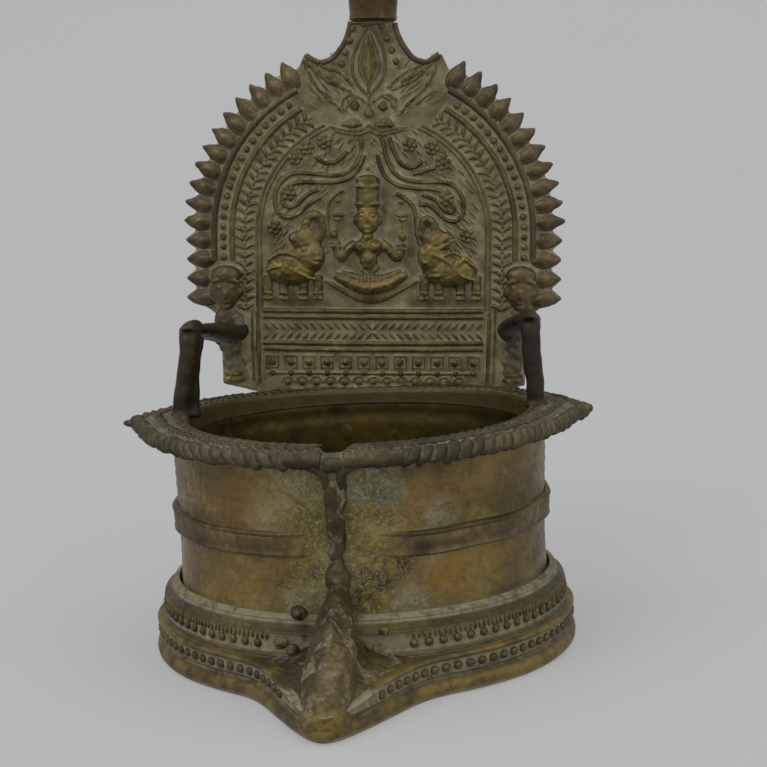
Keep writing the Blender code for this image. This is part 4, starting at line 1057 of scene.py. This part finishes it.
def make_figure():
    c = -1.4
    parts = [
        # head and tall crown
        lump(c, 101.6, 0.9, 6.6, 8.2, 4.2), cord([(c, 104.6), (c, 108.0), (c, 112.8)], 3.35, 0.3, 0.6),
        lump(c, 112.6, 0.5, 5.6, 2.2, 3.2),
        # neck, chest and waist
        lump(c, 96.8, 0.5, 3.4, 3.6, 3.0), lump(-1.3, 94.0, 0.5, 8.0, 6.0, 3.2),
        lump(-1.2, 90.6, 0.7, 5.0, 6.4, 3.4),
        lump(-3.3, 94.4, 1.5, 3.1, 3.1, 2.6), lump(0.35, 94.4, 1.5, 3.1, 3.1, 2.6),
        lump(-1.2, 91.0, 1.6, 3.3, 3.4, 2.2), lump(c, 115.2, 0.5, 1.3, 1.3, 1.3),
        # arms, hands and what they hold
        cord([(-4.6, 95.4), (-7.2, 93.4), (-8.2, 90.9), (-9.4, 92.4), (-10.4, 96.0)], 1.35, 0.9),
        cord([(2.0, 95.6), (4.8, 93.4), (6.4, 90.9), (7.4, 92.6), (7.9, 95.4)], 1.35, 0.9),
        lump(-10.5, 97.4, 1.0, 2.2, 2.6, 2.2), lump(8.0, 96.8, 1.0, 2.2, 2.6, 2.2),
        lump(-9.4, 102.9, 0.4, 3.6, 1.3, 1.6), lump(-9.5, 101.7, 0.4, 2.4, 1.4, 1.5),
        lump(-9.4, 106.7, 0.3, 1.8, 1.2, 1.0), lump(7.9, 102.8, 0.4, 3.8, 1.3, 1.6),
        lump(7.9, 101.6, 0.4, 2.4, 1.4, 1.5), lump(7.6, 106.2, 0.3, 1.6, 1.2, 1.0),
        cord([(-9.5, 101.0), (-9.8, 98.2)], 0.4, 0.5), cord([(7.9, 101.0), (7.9, 98.0)], 0.4, 0.5),
        # crossed legs
        cord([(-10.4, 86.6), (-6.0, 84.2), (-0.6, 82.9), (5.0, 84.3), (9.3, 87.0)], 1.9, 0.8,
             taper=lambda t: 0.55 + 0.6 * math.sin(math.pi * t)),
        cord([(-8.6, 87.4), (-4.6, 85.8), (-0.6, 84.9), (3.6, 85.8), (7.6, 87.8)], 1.4, 0.9,
             taper=lambda t: 0.5 + 0.6 * math.sin(math.pi * t)),
    ]
    for z, width in ((110.6, 3.3), (105.8, 3.5)):
        parts.append(cord([(c - width, z + 0.2), (c - width / 2, z - 0.1), (c, z - 0.2),
                           (c + width / 2, z - 0.1), (c + width, z + 0.2)], 0.62, 1.7))
    for x, z in ((-10.2, 95.6), (-10.0, 94.5), (7.9, 94.9), (7.8, 93.8)):
        parts.append(cord([(x - 1.5, z), (x, z - 0.1), (x + 1.5, z)], 0.42, 1.7))
    for dz in (0, 1.2, 2.4):
        parts.append(cord([(-4.2 + dz * 0.3, 89.2 - dz * 0.4), (-1.2, 87.8 - dz * 0.7),
                           (2.0 - dz * 0.3, 89.2 - dz * 0.4)], 0.42, 1.3 + 0.1 * dz))
    # a calm, plain face: brow, lids, nose, lips and chin set by thirds of the head
    brow, base, chin = 103.6, 100.9, 98.0
    parts += [lump(c, (brow + base) / 2, 2.7, 0.95, 2.9, 1.4), lump(c, base - 1.2, 2.6, 1.9, 0.6, 1.0),
              lump(c, base - 1.8, 2.55, 1.5, 0.6, 0.9), lump(c, chin + 0.5, 2.4, 1.7, 1.2, 1.0),
              lump(c - 1.5, brow - 0.75, 2.5, 1.5, 0.8, 0.9), lump(c + 1.5, brow - 0.75, 2.5, 1.5, 0.8, 0.9),
              cord([(c - 2.5, brow), (c - 1.4, brow + 0.35), (c - 0.5, brow)], 0.3, 2.6),
              cord([(c + 0.5, brow), (c + 1.4, brow + 0.35), (c + 2.5, brow)], 0.3, 2.6),
              lump(c - 3.4, 101.4, 0.6, 1.2, 2.8, 1.8), lump(c + 3.4, 101.4, 0.6, 1.2, 2.8, 1.8)]
    fit(body_of(parts, "goddess_relief", 0.22, 2, 0.14), "relief", "seated_figure")
    pleats = [on_plate(-0.6 + 1.05 * i, 85.2 - 0.05 * abs(i), 2.0, -0.06 * i) for i in range(-3, 4)]
    raised("skirt_pleats", repeated(dome((0.55, 1.0, 3.6), 8, 6), pleats))


def make_lotus():
    shares = [-1 + 2 * i / 24 for i in range(25)]
    places = [on_plate(-0.55 + 11.0 * share, 80.7 + 3.6 * share * share, 0.6, 1.15 * share + math.pi)
              for share in shares]
    petal = shaped(dome((1.05, 2.0, 4.0), 10, 8), lambda x, y, z: (x * (1 + 0.35 * z / 2), y, z))
    raised("lotus_petals", repeated(petal, places), nodes=["lotus_seat"])


# each elephant: body and head as (across, up, proud, width, height, depth, turn), trunk, tusk and harness as
# (points, radius, proud), the tops of the legs, and the saddle cloth's middle and slant
ELEPHANTS = {
    "left": (
        [(-22.3, 88.3, 0.9, 14.0, 9.2, 5.0), (-17.2, 91.5, 1.0, 8.6, 9.5, 4.6, 20),
         (-18.2, 95.6, 0.8, 7.6, 7.6, 3.8), (-21.2, 96.6, 1.0, 3.4, 3.4, 3.4)],
        [([(-18.6, 97.5), (-18.4, 100.6), (-16.6, 103.2), (-14.1, 102.5), (-13.5, 99.0), (-15.2, 95.2),
           (-18.4, 93.2)], 1.25, 0.7),
         ([(-16.6, 98.8), (-15.9, 100.8), (-15.4, 99.0), (-16.0, 97.4)], 0.6, 0.8),
         ([(-28.6, 90.6), (-26.0, 92.6), (-22.0, 92.6), (-18.6, 90.6), (-14.6, 89.6)], 0.5, 2.7),
         ([(-28.9, 88.0), (-26.0, 89.2), (-22.6, 88.9), (-19.0, 86.6), (-15.4, 85.6)], 0.42, 3.0),
         ([(-22.0, 94.0), (-19.6, 91.8), (-17.4, 90.9), (-13.6, 91.2)], 0.42, 2.8)],
        [(-28.6, 84.6), (-24.3, 84.0), (-18.9, 84.0), (-14.9, 84.6)], -22.6, 0.5),
    "right": (
        [(20.8, 87.9, 0.9, 15.0, 9.0, 5.0), (16.2, 91.4, 1.0, 8.4, 9.5, 4.6, -20),
         (17.2, 95.4, 0.8, 7.6, 7.6, 3.8), (20.0, 96.6, 1.0, 3.8, 3.8, 3.6)],
        [([(16.9, 99.0), (15.6, 102.0), (13.4, 101.4), (12.9, 98.2), (14.6, 94.8), (17.6, 93.4)], 1.2, 0.7),
         ([(15.2, 99.2), (14.6, 97.4), (15.2, 96.0)], 0.6, 0.8),
         ([(13.6, 90.0), (17.6, 91.0), (21.6, 93.2), (24.6, 91.6), (28.6, 88.2)], 0.5, 2.7),
         ([(16.0, 92.6), (20.8, 90.6), (23.6, 86.4), (28.0, 85.4)], 0.42, 3.0),
         ([(24.6, 91.4), (22.6, 88.4), (19.0, 86.4), (15.0, 86.6)], 0.42, 3.0),
         ([(13.4, 92.6), (18.0, 93.8), (22.4, 96.4)], 0.42, 2.4)],
        [(13.9, 84.6), (17.9, 84.0), (23.7, 84.0), (28.0, 84.6)], 21.4, -0.5),
}


def make_elephants():
    for word, (masses, lines, legs, centre, slant) in ELEPHANTS.items():
        parts = [lump(*mass) for mass in masses] + [cord(*line) for line in lines]
        for i in range(-4, 5):
            u = centre + 1.25 * i
            drop = 0.16 * i * i
            parts.append(cord([(u - slant, 91.2 - drop), (u, 89.0), (u + slant, 86.6 + drop)], 0.26,
                              3.1 - 0.06 * i * i))
        for u, top in legs:
            parts.append(cord([(u, top + 2), (u, 82.4), (u, 80.2)], 1.35, 0.6))
            parts.append(cord([(u - 1.5, 80.3), (u, 80.1), (u + 1.5, 80.3)], 0.55, 1.5))
            parts.append(cord([(u - 1.4, 81.9), (u, 81.7), (u + 1.4, 81.9)], 0.32, 1.8))
        fit(body_of(parts, "elephant_relief_" + word, 0.24, 2, 0.2), "relief", "elephant_" + word)


def make_crest():
    outline = [
        [(-1.1, 153.6), (-2.7, 151.0), (-4.7, 147.0), (-5.7, 143.0), (-5.2, 139.2), (-3.2, 136.2),
         (-1.1, 134.6)],
        [(-1.1, 153.6), (0.7, 151.2), (2.6, 147.4), (3.5, 143.2), (2.9, 139.4), (1.0, 136.4), (-1.1, 134.6)],
        [(-1.1, 151.4), (-2.5, 148.0), (-3.8, 143.6), (-3.4, 140.2), (-1.2, 137.4)],
        [(-1.1, 151.4), (0.5, 148.2), (1.7, 143.8), (1.3, 140.4), (-1.0, 137.4)],
    ]
    midrib = cord([(-1.1, 150.0), (-1.1, 144.0), (-1.1, 137.0), (-1.0, 134.4)], 0.5, 1.3,
                  taper=lambda t: 0.6 + 0.5 * t)
    parts = drawn(outline, 0.5, 0.2) + [lump(-1.1, 143.6, 0.4, 4.0, 11.4, 2.4), midrib]
    raised("crest_leaf_relief", parts, nodes=["crest_leaf"], angle=70)

    spots = [(-5.4, 152.2), (-6.2, 149.0), (-7.3, 145.9), (-8.3, 142.9),
             (2.4, 152.9), (3.8, 149.7), (5.0, 146.5), (6.2, 143.6)]
    raised("crest_beads", repeated(dome((2.0, 1.7, 2.0), 12, 8), [on_plate(u, z, 0.2) for u, z in spots]))

    flare = [[(-5.9, 153.4), (-6.4, 151.0), (-8.0, 147.4), (-11.0, 143.9), (-14.8, 142.9), (-17.9, 145.2)],
             [(5.8, 153.6), (6.3, 151.0), (8.0, 147.4), (11.0, 143.9), (14.8, 142.9), (17.9, 145.2)]]
    collar = [[(-6.6, 153.7), (-3.0, 153.4), (0.0, 153.9), (5.2, 155.0)],
              [(-3.0, 152.9), (0.0, 153.3), (4.0, 154.2)]]
    raised("crest_border", drawn(flare, 0.85, 0.2, 1.1) + drawn(collar, 0.45, 0.5), "petals", angle=70)

    ears = [
        [(-18.2, 144.6), (-13.0, 141.8), (-9.0, 141.0), (-6.4, 138.6), (-5.0, 136.4)],
        [(-17.6, 143.4), (-15.2, 140.6), (-11.8, 138.0), (-8.4, 136.8), (-5.8, 135.6)],
        [(-18.4, 144.0), (-17.0, 139.6), (-14.0, 135.4), (-10.6, 132.6), (-8.4, 130.6)],
        [(-16.9, 143.0), (-12.8, 139.6), (-9.6, 137.6)],
        [(17.5, 145.8), (12.6, 142.2), (8.6, 140.9), (5.6, 138.6), (4.0, 136.6)],
        [(16.9, 144.6), (14.4, 141.4), (11.0, 138.6), (7.6, 137.2), (5.0, 136.0)],
        [(17.6, 145.0), (16.4, 140.2), (13.4, 136.0), (10.2, 133.2), (7.4, 130.4)],
        [(15.9, 143.8), (12.4, 140.6), (8.8, 138.2)],
    ]
    brows_and_lips = [
        [(-8.2, 130.2), (-8.6, 133.0), (-6.6, 134.9), (-3.6, 134.4), (-2.0, 132.8)],
        [(6.2, 130.4), (6.6, 133.2), (4.6, 135.1), (1.6, 134.5), (0.0, 132.8)],
        [(-7.2, 131.0), (-6.8, 133.6), (-4.6, 134.2)], [(5.4, 131.2), (5.0, 133.8), (2.8, 134.2)],
        [(-11.9, 126.6), (-8.6, 125.6), (-4.6, 125.0), (-2.0, 125.8), (-1.0, 127.2), (0.2, 125.8), (2.8, 125.0),
         (6.0, 125.8), (8.8, 126.4)],
        [(-10.6, 125.4), (-7.6, 124.6), (-4.4, 124.1), (-1.8, 124.7), (-1.0, 125.6), (0.0, 124.7), (2.6, 124.1),
         (5.6, 124.8), (8.0, 125.6)],
    ]
    mask = drawn(ears, 0.46, 0.25)
    mask += [lump(-10.6, 138.9, 0.35, 5.4, 2.0, 1.6, 38), lump(9.6, 139.5, 0.35, 5.4, 2.0, 1.6, -38)]
    mask += drawn(brows_and_lips, 0.42, 0.35)
    mask += [lump(-4.8, 131.9, 0.7, 2.8, 2.8, 2.4), lump(2.7, 131.8, 0.7, 2.7, 2.7, 2.2),
             lump(-1.0, 129.9, 0.6, 3.0, 2.4, 2.6),
             cord([(-1.05, 135.0), (-1.0, 132.0), (-1.0, 130.2)], 0.65, 1.0, taper=lambda t: 0.7 + 0.6 * t),
             lump(-5.6, 126.9, 0.5, 5.8, 1.5, 2.2), lump(3.2, 126.9, 0.5, 5.8, 1.5, 2.2)]
    mask += [lump(centre + 0.72 * i, 128.2 - 0.12 * i * i, 0.35, 0.6, 1.7, 1.2, 14 * i)
             for centre in (-5.6, 3.2) for i in range(-3, 4)]
    fit(body_of(mask, "crest_mask_relief", 0.2, 1), "relief", "crest_mask")


def make_panel():
    for name, node, ridges in (("upper_sill_ridges", "sill_upper", ((76.7, 0.8), (75.0, 0.65))),
                               ("lower_sill_ridges", "sill_lower", ((67.9, 0.8), (66.1, 0.65)))):
        wires = [strand([(u, FACE_MM - 0.15, z + 0.0006 * u * u * 0.4) for u in range(-30, 31, 5)], radius, 1.1)
                 for z, radius in ridges]
        raised(name, wires, nodes=[node], angle=70)
    edges = []
    for line, radius, proud in (([(31.2, 56.8), (31.4, 66.0), (31.6, 76.6)], 0.6, 0.2),
                                ([(32.8, 57.4), (33.0, 66.0), (33.1, 77.4)], 0.4, 0.15)):
        edges += drawn([[(side * u, z) for u, z in line] for side in (-1, 1)], radius, proud)
    raised("panel_side_ridges", edges, angle=70, rough=(0.3, 1.4))
    places = []
    for i in range(28):
        u = -29.2 + 2.15 * i
        lean = 0.75 if u < 0 else -0.75
        places += [on_plate(u, 72.7, 0.2, -lean), on_plate(u, 69.9, 0.2, lean)]
    raised("panel_chevrons", repeated(dome((0.85, 1.3, 2.7), 8, 6), places))

    def hollow_tile():
        bpy.ops.mesh.inset(thickness=0.45 * MM)
        bpy.ops.mesh.delete(type="FACE")
        bpy.ops.mesh.select_all(action="SELECT")
        bpy.ops.mesh.extrude_region_move(TRANSFORM_OT_translate={"value": (0, -0.55 * MM, 0)})

    bpy.ops.mesh.primitive_plane_add(size=3.7 * MM, rotation=(math.pi / 2, 0, 0))
    tile = in_edit(settle(bpy.context.object), hollow_tile)
    tile.location = (0, 0.2 * MM, 0)
    pattern = joined("tile", [settle(tile), dome((2.2, 1.9, 2.4), 12, 8)])
    raised("panel_tiles", repeated(pattern, [on_plate(-27.6 + 5.0 * i, 62.7, 0.15) for i in range(12)]),
           rough=(0.3, 1.3))

    string = [strand([(u, FACE_MM - 0.2, 59.6) for u in range(-29, 30, 4)], 0.35, turns=2)]
    string += [dome((1.7, 1.7, 1.7), 12, 8, (-27.5 + 5.0 * i, FACE_MM - 0.4, 59.7)) for i in range(12)]
    raised("panel_bead_string", string, "petals")

    arch = [(1.6 * math.cos(math.pi * i / 8), 0, 1.6 * math.sin(math.pi * i / 8)) for i in range(9)]
    pattern = joined("arched_bead", [strand(arch, 0.36, turns=2), dome((2.0, 1.6, 2.0), 12, 8)])
    raised("panel_arched_beads", repeated(pattern, [on_plate(-23.4 + 3.9 * i, 57.2, 0.2) for i in range(13)]))


def make_guardians():
    for side, word in SIDES:
        u, v = 40.0 * side, side * 38.3
        # head, crown, chest and feet, then a calm, plain face
        parts = [
            lump(u, 82.6, 1.0, 7.6, 11.0, 5.6), lump(u, 86.6, 1.1, 8.4, 5.4, 5.8),
            lump(u, 74.0, 0.3, 7.0, 9.0, 3.2),
            lump(u - 2.0, 70.0, 0.3, 3.6, 6.0, 2.6), lump(u + 2.0, 69.0, 0.3, 3.4, 7.0, 2.6),
            lump(u, 81.6, 3.5, 1.3, 3.2, 1.6), lump(u - 1.7, 83.4, 3.0, 1.9, 1.0, 1.2),
            lump(u + 1.7, 83.4, 3.0, 1.9, 1.0, 1.2), lump(u, 79.4, 3.1, 2.4, 0.8, 1.2),
            lump(u, 78.0, 2.8, 2.4, 1.6, 1.2), lump(u - 3.9, 82.0, 1.0, 1.5, 3.2, 2.4),
            lump(u + 3.9, 82.0, 1.0, 1.5, 3.2, 2.4),
            cord([(u - 3.9, 84.7), (u - 2.0, 85.4), (u, 85.6), (u + 2.0, 85.4), (u + 3.9, 84.7)], 0.6, 3.2),
        ]
        fit(body_of(parts, "guardian_relief_" + word, 0.28, 3, 0.1), "petals", "guardian_" + word)
        lobes = [lump(v, 73.4, 0.2, 6.6, 7.4, 3.0), lump(v + side * 0.7, 67.8, 0.2, 6.6, 6.8, 3.2),
                 lump(v - side * 0.2, 62.6, 0.2, 6.2, 6.0, 3.0), lump(v - side * 1.4, 70.4, 0.6, 3.4, 4.4, 2.6),
                 lump(v + side * 1.2, 65.0, 0.6, 3.0, 3.6, 2.6), lump(v - side * 1.2, 60.4, 0.7, 3.4, 3.0, 2.4)]
        wing = uneven(body_of(lobes, "pilaster_relief_" + word, 0.3), 0.5, 1.8)
        fit(wing, "wing", "pilaster_" + word)
        base = [lump(v, 57.9, 0.4, 6.4, 2.6, 3.0), lump(v, 59.4, 0.4, 5.4, 1.6, 2.8)]
        fit(body_of(base, "pilaster_foot_" + word, 0.25, 2), "relief")


# ---- struts, back and finial ------------------------------------------------------
def make_struts():
    """Wrought straps: a post on the rim, a rounded shoulder and a flattened tongue to the plate."""
    for side, word, lean, landing_z in ((-1, "left", 2.6, 70.2), (1, "right", 1.0, 71.1)):
        foot_x, top_x = side * 43.6, side * (43.6 - lean)
        landing = LEAN @ Vector((side * 36.3 * MM, PLATE_FACE, landing_z * MM)) / MM
        tongue_start = Vector((top_x, AXIS_MM + 1.5, 78.2))
        reach = landing - tongue_start
        post = [(foot_x, 0, 56.2), (foot_x, 0, 60), (foot_x * 0.5 + top_x * 0.5, -0.1, 66), (top_x, 0, 72.5),
                (top_x, 0.4, 76.2), (top_x, 3.0, 78.4), (top_x - side * 0.6, 8, 77.8)]
        parts = [
            strand([(x, AXIS_MM + y, z) for x, y, z in post], 2.15, turns=6, sides=4,
                   taper=lambda t: 1.0 + 0.12 * math.sin(math.pi * t)),
            dome((5.4, 7.6, 5.6), 20, 14, (top_x, AXIS_MM + 2.4, 76.2)),
            dome((6.4, 6.0, 2.4), 20, 12, (foot_x, AXIS_MM, 57.2)),
        ]
        tongue = dome((9.2, reach.length * 1.16, 4.2), 32, 20)
        if side < 0:
            shaped(tongue, lambda x, y, z: (x, y, z * (1.15 + 0.022 * y)))
        heading = reach.to_track_quat("Y", "Z").to_matrix().to_4x4()
        parts.append(settle(tongue, Matrix.Translation((tongue_start + reach * 0.47) * MM) @ heading))
        if side < 0:
            second = [(foot_x + 3.4, 0.8, 56.2), (foot_x + 3.0, 1.0, 62), (foot_x + 3.6, 1.2, 69),
                      (top_x + 2.2, 3.5, 76)]
            parts.append(strand([(x, AXIS_MM + y, z) for x, y, z in second], 1.35, turns=6, sides=3))
        strap = outward(joined("strut_cast_" + word, parts))
        for point in strap.data.vertices:
            point.co.y = min(point.co.y, PLATE_FACE - 0.1 * MM)
        strap = uneven(fused(strap, 0.4, 14, 0.6), 0.22, 3.4)
        fit(smooth(strap, 60), "strut", "strut_" + word)
        fit(recast("strut_rivet_cast_" + word, "strut_rivet_" + word, 0.25, 2), "strut", "strut_rivet_" + word)
        low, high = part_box("plate_rivet_" + word)
        x, _, z = (low + high) / 2 / MM
        back = high.y / MM
        heads = [dome((6.0, 1.2, 6.0), 20, 10, (x, AXIS_MM + 42.3, z)),
                 dome((6.2, 1.5, 6.2), 20, 10, (x, back - 0.6, z)),
                 strand([(x, AXIS_MM + 42.2, z), (x, back - 0.8, z)], 1.7, sides=2)]
        fit(smooth(outward(joined("plate_rivet_cast_" + word, heads))), "drum", "plate_rivet_" + word,
            slot="dark_brass")
    fit(recast("back_boss_cast", "back_boss", 0.4, 4, 0.6, 0.2, 3.0), "drum", "back_boss")


def lathe(name, rows, facets):
    """A turned piece over the plate's middle, with eight soft facets."""
    middle = (PLATE_FACE + 1.3 * MM) / MM

    def place_of(turn, level):
        r, z = rows[level]
        r *= 1 - facets * (0.5 + 0.5 * math.cos(turn * 8))
        return (r * math.cos(turn), middle + r * math.sin(turn), z)

    return settle(wrapped(name, 96, len(rows) - 1, place_of), LEAN)


def make_finial():
    for kind, facets, rows in (
        ("stem", 0.02, [(0, 154.0), (5.6, 154.0), (6.5, 154.6), (6.35, 156.2), (6.6, 158.6), (6.7, 161.5),
                        (6.4, 164.5), (5.4, 167.0), (4.4, 168.8), (4.6, 169.5), (0, 169.6)]),
        ("knop", 0.0, [(0, 169.9), (4.8, 170.0), (6.6, 170.6), (7.8, 171.9), (8.0, 172.9), (7.8, 173.9),
                       (6.6, 175.2), (4.8, 175.8), (0, 175.9)]),
        ("bud", 0.05, [(0, 176.2), (3.6, 176.3), (5.4, 177.6), (6.4, 180.0), (6.5, 182.0), (5.8, 185.2),
                       (4.2, 188.2), (2.0, 190.6), (0.8, 191.5), (0, 191.7)]),
    ):
        fit(smooth(lathe(f"finial_{kind}_cast", rows, facets), 40), "stem", "finial_" + kind)


# ---- room ---------------------------------------------------------------------
def make_room():
    bpy.ops.mesh.primitive_plane_add(size=1, location=(0, 0, 0))
    floor = bpy.context.object
    floor.name = "studio_floor"
    for point in floor.data.vertices:
        point.co = (point.co.x * 6, -3.2 if point.co.y < 0 else 1.4, 0)
    take(floor)
    bpy.ops.object.mode_set(mode="EDIT")
    bpy.ops.mesh.select_all(action="DESELECT")
    bpy.ops.object.mode_set(mode="OBJECT")
    for edge in floor.data.edges:
        edge.select = all(floor.data.vertices[i].co.y > 1 for i in edge.vertices)
    bpy.ops.object.mode_set(mode="EDIT")
    bpy.ops.mesh.extrude_region_move(TRANSFORM_OT_translate={"value": (0, 0, 3.5)})
    bpy.ops.object.mode_set(mode="OBJECT")
    change(floor, "BEVEL", width=0.9, segments=16, affect="EDGES", limit_method="ANGLE")
    smooth(floor, 60)
    paper = Finish("studio_paper")
    sheet = paper.ramp(paper.noise(3, 2), [(0.3, tint(117, 118, 121)), (0.7, tint(119, 120, 123))])
    paper.feed(paper.shader.inputs["Base Color"], sheet)
    paper.shader.inputs["Roughness"].default_value = 0.95
    paper.shader.inputs["Emission Color"].default_value = tint(180, 180, 180)
    paper.shader.inputs["Emission Strength"].default_value = 0.58
    floor.data.materials.append(paper.material)

    world = bpy.data.worlds.new("studio")
    bpy.context.scene.world = world
    world.use_nodes = True
    world.node_tree.nodes["Background"].inputs["Color"].default_value = (0.9, 0.88, 0.81, 1)
    world.node_tree.nodes["Background"].inputs["Strength"].default_value = 0.72
    for name, place, size, power in (
        ("key", (-1.1, -1.3, 1.7), 1.6, 17),
        ("fill", (1.5, -1.2, 1.1), 1.6, 7),
        ("top", (0.1, 0.2, 2.2), 1.8, 13),
    ):
        bpy.ops.object.light_add(type="AREA", location=place)
        lamp = bpy.context.object
        lamp.name = name + "_softbox"
        lamp.data.shape = "SQUARE"
        lamp.data.size = size
        lamp.data.energy = power
        lamp.rotation_euler = (Vector((0, 0, 0.09)) - Vector(place)).to_track_quat("-Z", "Y").to_euler()

    bpy.ops.object.camera_add(
        location=(0.02836, -0.38617, 0.11988), rotation=[math.radians(v) for v in (81.909, 2.197, 2.852)])
    camera = bpy.context.object
    camera.data.lens = 76.9
    camera.data.sensor_width = 36
    camera.data.clip_start = 0.01
    bpy.context.scene.camera = camera
    bpy.context.scene.view_settings.view_transform = "Standard"


for make in (
    make_plinth, make_foot_beads, make_collar, make_keel, make_drum, make_belt, make_rim, make_rim_leaves,
    make_ropes, make_rope_ends, make_spout, make_plate, make_petals, make_ribs, make_border_beads,
    make_herringbone, make_rosettes, make_vines, make_hatch, make_figure, make_lotus, make_elephants,
    make_crest, make_panel, make_guardians, make_struts, make_finial, make_room,
):
    make()
